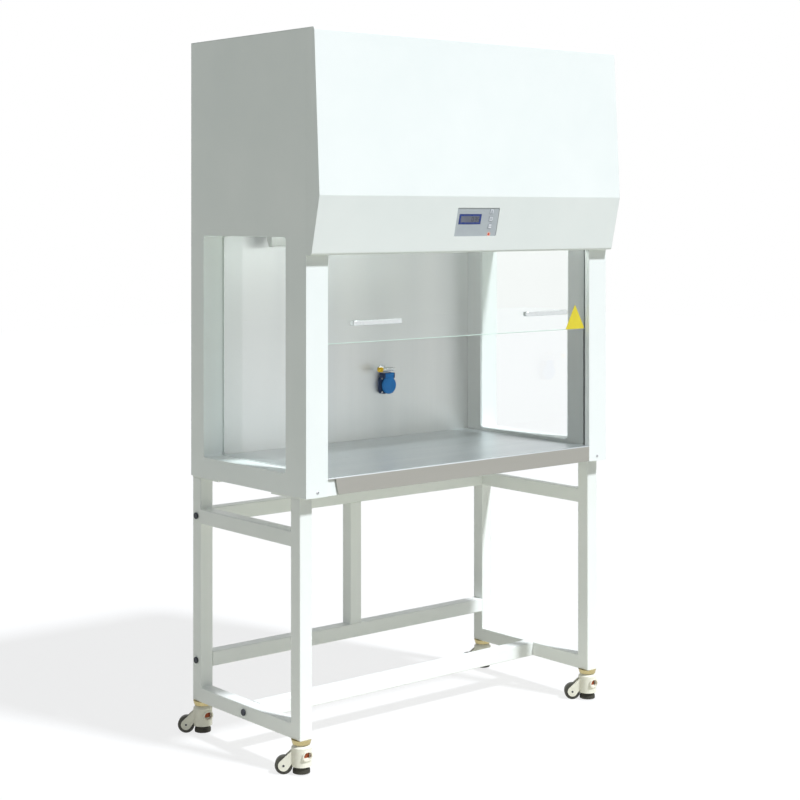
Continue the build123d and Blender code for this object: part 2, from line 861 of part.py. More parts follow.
def rear_frame():
    # Upper and lower rear bars welded to a centre post.
    post = Pos(0, rear_leg_y, rear_bar_z)
    post_length = upper_rail_z - rear_bar_z
    frame = post * tube(post_length)
    for z in (rear_bar_z, upper_rail_z):
        frame += bar_outside(rear_leg_y, z)
    for z in (rear_bar_z, upper_rail_z):
        frame -= bar_space(rear_leg_y, z)
    return frame - post * tube_space(post_length)


def stand_bolts():
    # Capped bolts from the outer faces of the side frames into the bars' end plates.
    outer = leg_x + tube_size / 2
    shank = tube_size + seam + end_plate + bolt_tail
    cap = cylinder(cap_diameter, -cap_height, 0)
    bolt = Rot(0, 90, 0) * (cap + cylinder(bolt_diameter, -1, shank))
    bolts = []
    for y, z in bolt_places():
        left = Pos(-outer - cap_gap, y, z) * bolt
        bolts.append(left)
        bolts.append(mirrored(left))
    return Compound(children=bolts)


# ---- levelling casters ----
spigot_bottom = deck_level + seam
plate_bottom = caster_height - plate_thickness
axle_z = wheel_diameter / 2
arm_inner = wheel_width / 2 + wheel_clearance
drum_radius = housing_diameter / 2
drum_inner = drum_radius - housing_wall


def placed_caster(shape, name):
    x, y = caster_places[name]
    return Pos(x, y, 0) * Rot(0, 0, trail_angle) * shape


def turned_piece(points):
    # A half section given as (radius, z) points, turned about the vertical axis.
    half = make_face(Polyline(*[(r, 0, z) for r, z in points], close=True))
    return revolve(half, axis=Axis.Z)


def caster_plate():
    # Flared plate under the leg, with a threaded stem above and a swivel spigot below.
    radius = plate_diameter / 2
    top = caster_height - seam
    stem_top = caster_height + stem_length
    return turned_piece([
        (0, spigot_bottom),
        (spigot_diameter / 2, spigot_bottom),
        (spigot_diameter / 2, plate_bottom),
        (radius - plate_bevel, plate_bottom),
        (radius, top),
        (stem_diameter / 2, top),
        (stem_diameter / 2, stem_top),
        (0, stem_top),
    ])


def caster_plates():
    return Compound(children=[placed_caster(caster_plate(), name) for name in caster_places])


def drum():
    # Swivel drum with a sloping shoulder.
    top = plate_bottom - seam
    return turned_piece([
        (0, housing_bottom),
        (drum_radius, housing_bottom),
        (drum_radius, top - housing_shoulder),
        (drum_radius - housing_shoulder, top),
        (0, top),
    ])


def drum_space():
    # Dial chamber above an inner floor, foot well below, and the two bores on the swivel's axis.
    floor_top = floor_level + floor_thickness
    space = cylinder(2 * drum_inner, floor_top, deck_level)
    space += cylinder(2 * drum_inner, housing_bottom - 1, floor_level)
    space += cylinder(spigot_diameter + 2 * running_clearance, deck_level - 1, plate_bottom)
    return space + cylinder(screw_diameter + 2 * screw_clearance, floor_level - 1, floor_top + 1)


def wheel_arm(side):
    # One cheek of the fork: a tapered plate from the drum's shoulder to the axle.
    hub = Pos(swivel_offset, axle_z) * Circle(arm_hub_radius)
    root = Pos(arm_root_offset, plate_bottom - arm_root_drop) * Circle(arm_root_radius)
    outline = make_hull(hub.edges() + root.edges())
    plane = Plane(origin=(0, side * arm_inner, 0), x_dir=(1, 0, 0), z_dir=(0, -1, 0))
    return extrude(plane * outline, amount=-side * arm_thickness)


def oval_prism(rim, end):
    # Round-ended block from inside the dial chamber out through the drum's wall.
    start = drum_inner - window_oval_rim
    plane = Plane(origin=(start, 0, window_oval_level), x_dir=(0, 1, 0), z_dir=(1, 0, 0))
    oval = SlotOverall(window_oval_width + 2 * rim, window_oval_height + 2 * rim)
    return Rot(0, 0, window_oval_bearing) * extrude(plane * oval, amount=end - start)


def on_axle(diameter, width):
    # A cylinder across the fork, centred on the wheel's axle.
    return Pos(swivel_offset, 0, axle_z) * Rot(90, 0, 0) * Cylinder(diameter / 2, width)


def caster_housing():
    # Drum, dial window with a raised rim, two fork arms and the wheel's fixed axle.
    rim_radius = drum_radius + window_oval_relief
    housing = drum() + oval_prism(window_oval_rim, rim_radius)
    for side in (-1, 1):
        housing += wheel_arm(side)
    housing -= drum_space()
    housing -= oval_prism(0, rim_radius + 1)
    housing -= on_axle(wheel_diameter + 2 * wheel_clearance, 2 * arm_inner)
    return housing + on_axle(axle_diameter, 2 * arm_inner + 2)


def caster_wheel():
    # Solid wheel with a hub that stands out on both sides.
    radius = wheel_diameter / 2
    half_tread = wheel_width / 2
    hub_half = arm_inner - seam
    bore = axle_diameter / 2 + running_clearance
    hub = wheel_hub_diameter / 2
    side = [(bore, hub_half), (hub, hub_half), (hub, half_tread), (radius, half_tread)]
    turned = side + [(r, -y) for r, y in reversed(side)]
    half = make_face(Polyline(*[(swivel_offset + r, y, axle_z) for r, y in turned], close=True))
    return revolve(half, axis=Axis((swivel_offset, 0, axle_z), (0, 1, 0)))


def thumb_dial():
    # Toothed dial with a hub up to the deck; the foot's screw runs through it.
    z0 = floor_level + floor_thickness + seam
    z1 = z0 + dial_height
    tip = dial_diameter / 2
    root = tip - dial_tooth_depth
    outline = []
    for tooth in range(dial_teeth):
        for share, radius in ((0, tip), (0.4, tip), (0.55, root), (0.85, root)):
            angle = 2 * math.pi * (tooth + share) / dial_teeth
            outline.append((radius * math.cos(angle), radius * math.sin(angle), z0))
    dial = extrude(make_face(Polyline(*outline, close=True)), amount=dial_height, dir=(0, 0, 1))
    dial += cylinder(dial_hub_diameter, z1 - 1, deck_level - seam)
    return dial - cylinder(screw_diameter + 2 * bolt_clearance, z0 - 1, deck_level)


def levelling_foot():
    # Rubber pad, flange and screw, drawn up to its stop.
    radius = foot_diameter / 2
    flange_z = foot_gap + foot_rubber
    flange_top = flange_z + foot_flange
    screw_top = deck_level - screw_top_gap
    return turned_piece([
        (0, foot_gap),
        (radius, foot_gap),
        (radius, flange_z),
        (radius - foot_flange_inset, flange_z),
        (radius - foot_flange_inset, flange_top),
        (screw_diameter / 2, flange_top),
        (screw_diameter / 2, screw_top),
        (0, screw_top),
    ])


# ---- every piece under its own name ----
def all_pieces():
    pieces = {
        "left_outer_skin": outer_skin(),
        "left_inner_liner": inner_liner(),
        "left_window": side_pane(),
        "left_sash_guide": sash_guide(),
        "left_sash_handle": sash_handle(),
        "left_stand_frame": side_frame(),
    }
    for name in list(pieces):
        pieces[name.replace("left", "right")] = mirrored(pieces[name])
    pieces["back_panel"] = back_panel()
    pieces["top_panel"] = top_panel()
    pieces["floor_pan"] = floor_pan()
    pieces["worktop"] = worktop()
    pieces["front_cover"] = front_cover()
    pieces["sash_glass"] = sash_glass()
    pieces["corner_sticker"] = corner_sticker()
    pieces["control_bezel"] = control_bezel()
    pieces["display"] = display()
    for index, name in enumerate(("top_key", "middle_key", "bottom_key")):
        pieces[name] = panel_key(index)
    pieces["status_lamp"] = status_lamp()
    pieces["controller_box"] = controller_box()
    pieces["socket_base"] = socket_base()
    pieces["socket_lid"] = socket_lid()
    pieces["valve_body"] = valve_body()
    pieces["valve_knob"] = valve_knob()
    pieces["ceiling_diffuser"] = ceiling_diffuser()
    pieces["hepa_filter"] = hepa_filter()
    pieces["plenum_box"] = plenum_box()
    pieces["blower_housing"] = blower_housing()
    pieces["blower_wheel"] = blower_wheel()
    pieces["blower_motor"] = blower_motor()
    pieces["prefilter"] = prefilter()
    pieces["work_lamp"] = work_lamp()
    pieces["air_sensor"] = air_sensor()
    pieces["rear_frame"] = rear_frame()
    pieces["centre_bar"] = centre_bar()
    pieces["stand_bolts"] = stand_bolts()
    pieces["caster_plates"] = caster_plates()
    builders = {
        "caster_housing": caster_housing(),
        "caster_wheel": caster_wheel(),
        "caster_dial": thumb_dial(),
        "caster_foot": levelling_foot(),
    }
    for place in caster_places:
        for kind, shape in builders.items():
            pieces[place + "_" + kind] = placed_caster(shape, place)
    return pieces


if __name__ == "__main__":
    os.makedirs("parts", exist_ok=True)
    for node, shape in all_pieces().items():
        export_step(shape, "parts/" + node + ".step")
        print(node)
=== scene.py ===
import json
import math

import bmesh
import bpy
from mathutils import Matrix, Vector


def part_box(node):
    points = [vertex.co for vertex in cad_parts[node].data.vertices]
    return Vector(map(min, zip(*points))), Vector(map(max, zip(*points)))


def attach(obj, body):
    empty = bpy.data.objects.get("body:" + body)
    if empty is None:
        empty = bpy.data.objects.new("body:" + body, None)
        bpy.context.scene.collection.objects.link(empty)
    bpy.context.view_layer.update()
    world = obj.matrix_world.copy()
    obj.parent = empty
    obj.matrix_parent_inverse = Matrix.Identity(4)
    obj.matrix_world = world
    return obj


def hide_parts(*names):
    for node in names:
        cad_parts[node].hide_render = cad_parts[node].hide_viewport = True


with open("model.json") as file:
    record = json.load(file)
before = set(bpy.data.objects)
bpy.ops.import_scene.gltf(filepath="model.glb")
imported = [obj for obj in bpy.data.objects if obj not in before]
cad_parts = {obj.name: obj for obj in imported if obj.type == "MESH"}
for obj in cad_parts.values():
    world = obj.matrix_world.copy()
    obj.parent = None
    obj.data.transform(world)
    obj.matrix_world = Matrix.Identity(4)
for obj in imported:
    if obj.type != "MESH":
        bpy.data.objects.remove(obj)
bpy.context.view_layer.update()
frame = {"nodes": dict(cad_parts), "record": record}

bodyOf = {node: body for body, nodes in frame["record"]["behaviour"]["bodies"].items() for node in nodes}
slotOf = {part["node"]: part["material_slot"] for part in frame["record"]["subparts"]}
casterNames = ("front_left", "front_right", "rear_left", "rear_right")
mm = 0.001


# A hex colour as picked on screen, turned to the linear values that shaders want.
def hexColour(code):
    channels = [int(code[i:i + 2], 16) / 255 for i in (0, 2, 4)]
    return (*(c / 12.92 if c <= 0.04045 else ((c + 0.055) / 1.055) ** 2.4 for c in channels), 1.0)


# Adds one node. An input given as a socket, a node or a list of them is linked, a node by its first
# output in use, and any other value is set.
def addNode(tree, kind, settings=None, inputs=None):
    node = tree.nodes.new(kind)
    for name, value in (settings or {}).items():
        setattr(node, name, value)
    for name, value in (inputs or {}).items():
        for source in value if isinstance(value, list) else [value]:
            if isinstance(source, bpy.types.Node):
                source = next(output for output in source.outputs if output.enabled)
            if isinstance(source, bpy.types.NodeSocket):
                tree.links.new(source, node.inputs[name])
            else:
                node.inputs[name].default_value = source
    return node


def newMaterial(name):
    material = bpy.data.materials.new(name)
    material.use_nodes = True
    material.node_tree.nodes.clear()
    return material, material.node_tree


# Most of a noise's values lie between these two, so a full change of tone is spread over them.
noiseRange = {"From Min": 0.3, "From Max": 0.7}


# Polyester powder coat, baked on steel: satin, with the fine orange peel of the melted powder.
# The peel is about 2 mm from wave to wave, and the coat is a touch duller in broad patches.
def powderCoat(name, colour, shade, roughness=0.38, peel=2.0, depth=0.10):
    material, tree = newMaterial(name)
    place = addNode(tree, "ShaderNodeTexCoord").outputs["Object"]
    patches = addNode(tree, "ShaderNodeTexNoise", inputs={"Vector": place, "Scale": 5.0, "Detail": 3.0})
    waves = addNode(tree, "ShaderNodeTexNoise", inputs={
        "Vector": place, "Scale": 1000 / peel, "Detail": 2.0, "Roughness": 0.4})
    tone = addNode(tree, "ShaderNodeMapRange", inputs={"Value": patches, **noiseRange})
    tint = addNode(tree, "ShaderNodeMix", {"data_type": "RGBA"}, {
        0: tone, 6: hexColour(colour), 7: hexColour(shade)})
    gloss = addNode(tree, "ShaderNodeMapRange", inputs={
        "Value": patches, **noiseRange, "To Min": roughness - 0.03, "To Max": roughness + 0.05})
    bump = addNode(tree, "ShaderNodeBump", inputs={"Height": waves, "Strength": depth, "Distance": 0.0002})
    shader = addNode(tree, "ShaderNodeBsdfPrincipled", inputs={
        "Base Color": tint, "Roughness": gloss, "Normal": bump, "IOR": 1.5})
    addNode(tree, "ShaderNodeOutputMaterial", inputs={"Surface": shader})
    return material


# Stainless sheet, ground with a No. 4 belt: fine scratches along one axis that pull reflections out across
# them. Real ones are some hundredths of a millimetre apart; here they're 1 mm apart, so that they show.
def brushedStainless(name, colour, shade, along="Z", roughness=0.30, scratch=1.0, metallic=1.0):
    material, tree = newMaterial(name)
    place = addNode(tree, "ShaderNodeTexCoord").outputs["Object"]
    fine = 1000 / scratch
    scratched = addNode(tree, "ShaderNodeMapping", inputs={
        "Vector": place, "Scale": {"X": (2.5, fine, fine), "Z": (fine, fine, 2.5)}[along]})
    lines = addNode(tree, "ShaderNodeTexNoise", inputs={
        "Vector": scratched, "Scale": 1.0, "Detail": 4.0, "Roughness": 0.6})
    banded = addNode(tree, "ShaderNodeMapping", inputs={
        "Vector": place, "Scale": {"X": (0.6, 9, 9), "Z": (9, 9, 0.6)}[along]})
    bands = addNode(tree, "ShaderNodeTexNoise", inputs={"Vector": banded, "Scale": 1.0, "Detail": 3.0})
    tone = addNode(tree, "ShaderNodeMapRange", inputs={"Value": bands, **noiseRange})
    tint = addNode(tree, "ShaderNodeMix", {"data_type": "RGBA"}, {
        0: tone, 6: hexColour(colour), 7: hexColour(shade)})
    gloss = addNode(tree, "ShaderNodeMapRange", inputs={
        "Value": lines, **noiseRange, "To Min": roughness - 0.06, "To Max": roughness + 0.08})
    bump = addNode(tree, "ShaderNodeBump", inputs={"Height": lines, "Strength": 0.05, "Distance": 0.0001})
    shader = addNode(tree, "ShaderNodeBsdfPrincipled", inputs={
        "Base Color": tint, "Metallic": metallic, "Roughness": gloss, "Normal": bump})
    addNode(tree, "ShaderNodeOutputMaterial", inputs={"Surface": shader})
    return material


# Hot-dip galvanised sheet: dull zinc with spangle crystals, some 12 mm wide, each at its own tone.
def galvanisedSheet(name, colour, shade, spangle=12.0, roughness=0.42):
    material, tree = newMaterial(name)
    place = addNode(tree, "ShaderNodeTexCoord").outputs["Object"]
    crystals = addNode(tree, "ShaderNodeTexVoronoi", {"feature": "F1"}, {
        "Vector": place, "Scale": 1000 / spangle})
    tone = addNode(tree, "ShaderNodeSeparateColor", inputs={"Color": crystals.outputs["Color"]})
    tint = addNode(tree, "ShaderNodeMix", {"data_type": "RGBA"}, {
        0: tone, 6: hexColour(colour), 7: hexColour(shade)})
    gloss = addNode(tree, "ShaderNodeMapRange", inputs={
        "Value": tone, "To Min": roughness, "To Max": roughness + 0.15})
    shader = addNode(tree, "ShaderNodeBsdfPrincipled", inputs={
        "Base Color": tint, "Metallic": 1.0, "Roughness": gloss})
    addNode(tree, "ShaderNodeOutputMaterial", inputs={"Surface": shader})
    return material


# Cast, turned or plated metal: an even tone with slight handling marks in the gloss.
def plainMetal(name, colour, shade, roughness=0.25, marks=6.0):
    material, tree = newMaterial(name)
    place = addNode(tree, "ShaderNodeTexCoord").outputs["Object"]
    noise = addNode(tree, "ShaderNodeTexNoise", inputs={
        "Vector": place, "Scale": 1000 / marks, "Detail": 4.0})
    tone = addNode(tree, "ShaderNodeMapRange", inputs={"Value": noise, **noiseRange})
    tint = addNode(tree, "ShaderNodeMix", {"data_type": "RGBA"}, {
        0: tone, 6: hexColour(colour), 7: hexColour(shade)})
    gloss = addNode(tree, "ShaderNodeMapRange", inputs={
        "Value": noise, **noiseRange, "To Min": roughness - 0.05, "To Max": roughness + 0.10})
    shader = addNode(tree, "ShaderNodeBsdfPrincipled", inputs={
        "Base Color": tint, "Metallic": 1.0, "Roughness": gloss})
    addNode(tree, "ShaderNodeOutputMaterial", inputs={"Surface": shader})
    return material


# Injection-moulded plastic: a fine spark-eroded grain from the mould and faint flow marks in the colour.
def mouldedPlastic(name, colour, shade, roughness=0.45, grain=0.8, depth=0.15, coat=0.0):
    material, tree = newMaterial(name)
    place = addNode(tree, "ShaderNodeTexCoord").outputs["Object"]
    flow = addNode(tree, "ShaderNodeTexNoise", inputs={
        "Vector": place, "Scale": 45.0, "Detail": 2.0, "Distortion": 0.6})
    texture = addNode(tree, "ShaderNodeTexNoise", inputs={
        "Vector": place, "Scale": 1000 / grain, "Detail": 1.0})
    tone = addNode(tree, "ShaderNodeMapRange", inputs={"Value": flow, **noiseRange})
    tint = addNode(tree, "ShaderNodeMix", {"data_type": "RGBA"}, {
        0: tone, 6: hexColour(colour), 7: hexColour(shade)})
    gloss = addNode(tree, "ShaderNodeMapRange", inputs={
        "Value": flow, **noiseRange, "To Min": roughness, "To Max": roughness + 0.06})
    bump = addNode(tree, "ShaderNodeBump", inputs={
        "Height": texture, "Strength": depth, "Distance": 0.0001})
    shader = addNode(tree, "ShaderNodeBsdfPrincipled", inputs={
        "Base Color": tint, "Roughness": gloss, "Normal": bump, "IOR": 1.48, "Coat Weight": coat})
    addNode(tree, "ShaderNodeOutputMaterial", inputs={"Surface": shader})
    return material


# Float glass, polished: the iron in it gives a faint green that deepens towards the cut edges.
# Lamps shine through it, so that what stands behind is lit.
def floatGlass(name, colour, haze=0.0):
    material, tree = newMaterial(name)
    pane = addNode(tree, "ShaderNodeBsdfPrincipled", inputs={
        "Base Color": hexColour(colour), "Roughness": haze, "IOR": 1.45, "Transmission Weight": 1.0,
        "Specular IOR Level": 0.3})
    clear = addNode(tree, "ShaderNodeBsdfTransparent", inputs={"Color": hexColour(colour)})
    rays = addNode(tree, "ShaderNodeLightPath").outputs
    through = addNode(tree, "ShaderNodeMath", {"operation": "MAXIMUM"}, {
        0: rays["Is Shadow Ray"], 1: rays["Is Diffuse Ray"]})
    mix = addNode(tree, "ShaderNodeMixShader", inputs={0: through, 1: pane, 2: clear})
    addNode(tree, "ShaderNodeOutputMaterial", inputs={"Surface": mix})
    return material


# Opal acrylic over a lamp that is on: an even glow, a little weaker in soft bands 60 mm long.
def litAcrylic(name, colour, strength):
    material, tree = newMaterial(name)
    place = addNode(tree, "ShaderNodeTexCoord").outputs["Object"]
    banded = addNode(tree, "ShaderNodeMapping", inputs={"Vector": place, "Scale": (16, 4, 4)})
    bands = addNode(tree, "ShaderNodeTexNoise", inputs={"Vector": banded, "Scale": 1.0, "Detail": 1.0})
    glow = addNode(tree, "ShaderNodeMapRange", inputs={
        "Value": bands, **noiseRange, "To Min": strength * 0.94, "To Max": strength})
    shader = addNode(tree, "ShaderNodeBsdfPrincipled", inputs={
        "Base Color": hexColour(colour), "Roughness": 0.35, "Emission Color": hexColour(colour),
        "Emission Strength": glow})
    addNode(tree, "ShaderNodeOutputMaterial", inputs={"Surface": shader})
    return material


# Glass-fibre paper or polyester fleece: matt, with a felted grain about 1.5 mm across.
def feltedPaper(name, colour, shade, fibre=1.5):
    material, tree = newMaterial(name)
    place = addNode(tree, "ShaderNodeTexCoord").outputs["Object"]
    fibres = addNode(tree, "ShaderNodeTexNoise", inputs={
        "Vector": place, "Scale": 1000 / fibre, "Detail": 6.0, "Roughness": 0.7})
    tone = addNode(tree, "ShaderNodeMapRange", inputs={"Value": fibres, **noiseRange})
    tint = addNode(tree, "ShaderNodeMix", {"data_type": "RGBA"}, {
        0: tone, 6: hexColour(colour), 7: hexColour(shade)})
    bump = addNode(tree, "ShaderNodeBump", inputs={"Height": fibres, "Strength": 0.4, "Distance": 0.0004})
    shader = addNode(tree, "ShaderNodeBsdfPrincipled", inputs={
        "Base Color": tint, "Roughness": 0.9, "Normal": bump})
    addNode(tree, "ShaderNodeOutputMaterial", inputs={"Surface": shader})
    return material


finish = {
    "powder_coat": powderCoat("powderCoatWhite", "EFF2F0", "EBEFED"),
    "stand_coat": powderCoat("powderCoatStand", "EEF0ED", "EAEDE9", 0.40),
    "diffuser_coat": powderCoat("powderCoatDiffuser", "EDF0EE", "E8ECEA", 0.5),
    "stainless": brushedStainless("brushedStainlessUpright", "D4D6D3", "CBCECC", "Z", 0.40),
    "worktop": brushedStainless("brushedStainlessWorktop", "C7CCCD", "BDC3C5", "X", 0.32, 1.0, 0.82),
    "clear_glass": floatGlass("floatGlassClear", "FCFEFD"),
    "guide_aluminium": plainMetal("anodisedAluminium", "C4C8C7", "B9BDBC", 0.35),
    "handle_plastic": plainMetal("chromePlatedAbs", "E2E6E6", "D8DDDD", 0.20, 8.0),
    "yellow_film": mouldedPlastic("vinylFilmYellow", "DCCB35", "D6C42F", 0.40, 1.5, 0.03),
    "panel_overlay": mouldedPlastic("polyesterOverlayGrey", "B7BDC1", "B1B6BC", 0.40, 0.6, 0.08),
    "display_module": mouldedPlastic("glossPlasticBlue", "183585", "142E74", 0.25, coat=0.2),
    "key_plastic": mouldedPlastic("polyesterKeyGrey", "ABB1B8", "A5ABB3", 0.38, 0.6, 0.08),
    "lamp_lens": mouldedPlastic("polycarbonateRed", "E0512E", "D84826", 0.2, coat=0.4),
    "dark_plastic": mouldedPlastic("absBlack", "262628", "202022", 0.5),
    "socket_plastic": mouldedPlastic("nylonNavy", "12305C", "0F2A52", 0.45),
    "lid_plastic": mouldedPlastic("polycarbonateBlue", "0A70B6", "0868AC", 0.4),
    "chromed_brass": plainMetal("chromePlate", "E2E4E4", "D8DADA", 0.12),
    "yellow_plastic": mouldedPlastic("nylonYellow", "EBC024", "E4B81E", 0.35),
    "filter_media": feltedPaper("glassFibrePaper", "F0F0EC", "E2E3DE"),
    "galvanised_steel": galvanisedSheet("galvanisedSheet", "B4B9BC", "9FA5A9"),
    "fan_aluminium": plainMetal("pressedAluminium", "C2C6C8", "B2B6B8", 0.38),
    "motor_metal": powderCoat("enamelGrey", "4A4D50", "424548", 0.45),
    "lamp_diffuser": litAcrylic("opalAcrylicLit", "F4F6F6", 6.0),
    "sensor_plastic": mouldedPlastic("absWhite", "F0F1EE", "E9EBE8", 0.42),
    "black_cap": mouldedPlastic("polyethyleneSlate", "2B3038", "252A32", 0.5),
    "yellow_zinc": plainMetal("zincPlateYellow", "CFC193", "BDAE7A", 0.3, 3.0),
    "caster_nylon": mouldedPlastic("glassFilledNylonCream", "EBE9DB", "E3E0D1", 0.48, 0.8, 0.25),
    "wheel_rubber": mouldedPlastic("nylonWheelTaupe", "494840", "403F38", 0.50, 1.2, 0.3),
    "dial_plastic": mouldedPlastic("acetalOrange", "BE6236", "B2562C", 0.4),
    "foot_rubber": mouldedPlastic("mouldedRubberOlive", "3A392F", "312F27", 0.7, 1.0, 0.3),
}
groundEdge = mouldedPlastic("groundGlassEdge", "DDEDE6", "D2E5DC", 0.55, 0.6, 0.2)
screwSteel = plainMetal("zincScrewSteel", "C8CACB", "B4B6B8", 0.28, 2.0)
pinSteel = plainMetal("blackenedPinSteel", "55565A", "494A4E", 0.35, 2.0)
sealant = mouldedPlastic("siliconeSealantWhite", "E9ECEA", "E1E5E3", 0.35, 4.0, 0.10, coat=0.1)
weldCoat = powderCoat("powderCoatWeld", "ECEEEB", "E7EAE6", 0.42, 2.5, 0.25)
signInk = mouldedPlastic("screenInkWhite", "F2F3F7", "E9EAF0", 0.45, 0.5, 0.02)
screenFilm = mouldedPlastic("liquidCrystalGrey", "686C7C", "5D6172", 0.16, 0.5, 0.01, coat=0.4)
segmentInk = mouldedPlastic("liquidCrystalSegment", "2C2E39", "262833", 0.3, 0.5, 0.01)
# Salmon colour for a ring round the status lamp: painted glow of the lamp on the bezel.
paintedLampGlow = mouldedPlastic("paintedGlowSalmon", "EDBBAD", "E8B2A3", 0.45, 0.5, 0.02)
print("materials ready:", len(bpy.data.materials))


# Links a piece to the scene, puts it on its body and hides the CAD nodes that it stands for.
def dress(piece, body, nodes=()):
    if piece.name not in bpy.context.scene.collection.objects:
        bpy.context.scene.collection.objects.link(piece)
    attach(piece, body)
    if nodes:
        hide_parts(*nodes)
    return piece


# Pieces that wait for their normals: each is an object, its body, slot and the nodes that it replaces.
waiting = []


# A copy of a CAD node with its flat faces joined and its edges softened, as bent and moulded edges are.
# Edge and sharpness are in metres and degrees; chooseFace gives a face's material by number.
def softenedCopy(node, pieceName, edge=0.0, segments=2, materials=None, chooseFace=None, sharp=32):
    mesh = frame["nodes"][node].data.copy()
    mesh.name = pieceName
    work = bmesh.new()
    work.from_mesh(mesh)
    bmesh.ops.remove_doubles(work, verts=work.verts, dist=0.00001)
    bmesh.ops.dissolve_limit(work, angle_limit=math.radians(0.4), verts=work.verts, edges=work.edges)
    if edge > 0:
        corners = [e for e in work.edges if e.is_manifold and e.calc_face_angle(0) > math.radians(sharp)]
        bmesh.ops.bevel(work, geom=corners, offset=edge, segments=segments, affect="EDGES", profile=0.5,
                        clamp_overlap=True)
    work.normal_update()
    for face in work.faces:
        face.material_index = chooseFace(face) if chooseFace else 0
    mesh.materials.clear()  # before the faces go back, because it sets their material numbers to 0
    for material in materials or [finish[slotOf[node]]]:
        mesh.materials.append(material)
    work.to_mesh(mesh)
    work.free()
    mesh.shade_smooth()
    mesh.set_sharp_from_angle(angle=math.radians(sharp))
    piece = bpy.data.objects.new(pieceName, mesh)
    bpy.context.scene.collection.objects.link(piece)
    normals = piece.modifiers.new("flatFaceNormals", "WEIGHTED_NORMAL")
    normals.keep_sharp = True
    normals.weight = 100
    waiting.append((piece, bodyOf[node], slotOf[node], [node]))
    return piece


# Turns each waiting piece's modifier result into its own plain mesh, and puts the piece on its body with its
# nodes hidden.
def settleWaiting():
    depsgraph = bpy.context.evaluated_depsgraph_get()
    meshes = [bpy.data.meshes.new_from_object(entry[0].evaluated_get(depsgraph)) for entry in waiting]
    for (piece, body, slot, nodes), mesh in zip(waiting, meshes):
        piece.modifiers.clear()
        piece.data = mesh
        dress(piece, body, nodes)
    waiting.clear()


# Cabinet, sash and stand, from the CAD shapes.
backLow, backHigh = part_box("back_panel")


# The back panel is painted outside, and clad in stainless where the chamber shows it.
def chamberSide(face):
    inside = abs(face.normal.y + 1) < 0.01
    return 1 if inside else 0


# How far each piece's edges are softened, in millimetres.
sheetPieces = {
    "left_outer_skin": 0.5, "right_outer_skin": 0.5, "top_panel": 0.4, "floor_pan": 0.4, "front_cover": 0.5,
    "left_inner_liner": 0.3, "right_inner_liner": 0.3,
    "left_stand_frame": 0.0, "right_stand_frame": 0.0, "rear_frame": 0.0, "centre_bar": 0.0,
    "left_sash_guide": 0.3, "right_sash_guide": 0.3,
}
for node, edge in sheetPieces.items():
    softenedCopy(node, node + "_finished", edge * mm, 2)
softenedCopy("back_panel", "back_panel_finished", 0.3 * mm, 1,
             [finish["powder_coat"], finish["stainless"]], chamberSide)


# The worktop's apron faces are told from the top by their direction. They get a rougher steel in a darker,
# warmer tone than the top, and the tone is painted shade.
def apronShadeSide(face):
    return 0 if face.normal.z > 0.3 else 1


# Darker, warmer stainless for the apron's faces: painted shade on the same sheet as the top.
apronPaintedShadeSteel = brushedStainless("brushedStainlessApronPaintedShade", "B1B0A9", "AAA9A1", "X", 0.40)
softenedCopy("worktop", "worktop_finished", 0.4 * mm, 2, [finish["worktop"], apronPaintedShadeSteel], apronShadeSide)
for node in ("left_window", "right_window"):
    softenedCopy(node, node + "_polished", 0.6 * mm, 2)


# The sash's edges are ground, so they're matt and pale beside the polished faces.
def groundSide(face):
    return 0 if abs(face.normal.y) > 0.95 else 1


softenedCopy("sash_glass", "sash_glass_polished", 2.2 * mm, 2,
             [finish["clear_glass"], groundEdge], groundSide)
for node in ("left_sash_handle", "right_sash_handle"):
    softenedCopy(node, node + "_moulded", 2.2 * mm, 3)
print("cabinet pieces dressed")

mouldedPieces = {
    "controller_box": 0.8, "socket_base": 0.5, "socket_lid": 0.8, "valve_body": 0.3, "valve_knob": 0.7,
    "control_bezel": 0.3, "top_key": 0.3, "middle_key": 0.3, "bottom_key": 0.3, "status_lamp": 0.4,
    "air_sensor": 1.0, "work_lamp": 0.5, "plenum_box": 0.4, "blower_housing": 0.4, "blower_wheel": 0.0,
    "blower_motor": 3.0, "prefilter": 1.5, "hepa_filter": 0.0, "stand_bolts": 1.6,
    "caster_plates": 0.3, "corner_sticker": 0.0, "display": 0.3,
}
for node, edge in mouldedPieces.items():
    softenedCopy(node, node + "_finished", edge * mm)
for name in casterNames:
    softenedCopy(name + "_caster_housing", name + "_caster_housing_moulded", 1.2 * mm, 3)
    softenedCopy(name + "_caster_wheel", name + "_caster_wheel_moulded", 1.8 * mm, 3)
    softenedCopy(name + "_caster_dial", name + "_caster_dial_moulded", 0.4 * mm)
    softenedCopy(name + "_caster_foot", name + "_caster_foot_moulded", 1.0 * mm)
settleWaiting()
print("small pieces dressed")


# Detail pieces are grown by Geometry Nodes from points or lines that the frame's boxes place.
# A tree takes one geometry and named values, and its output is set last.
def newTree(name, values):
    tree = bpy.data.node_groups.new(name, "GeometryNodeTree")
    tree.interface.new_socket("Geometry", in_out="INPUT", socket_type="NodeSocketGeometry")
    for label, start in values.items():
        kind = "NodeSocketInt" if isinstance(start, int) else "NodeSocketFloat"
        tree.interface.new_socket(label, in_out="INPUT", socket_type=kind).default_value = start
    tree.interface.new_socket("Material", in_out="INPUT", socket_type="NodeSocketMaterial")
    tree.interface.new_socket("Geometry", in_out="OUTPUT", socket_type="NodeSocketGeometry")
    return tree, tree.nodes.new("NodeGroupInput").outputs


# Ends a tree: instances made real, and one material on all of it.
def closeTree(tree, given, geometry):
    real = addNode(tree, "GeometryNodeRealizeInstances", inputs={"Geometry": geometry})
    coated = addNode(tree, "GeometryNodeSetMaterial", inputs={
        "Geometry": real, "Material": given["Material"]})
    addNode(tree, "NodeGroupOutput", inputs={"Geometry": coated})


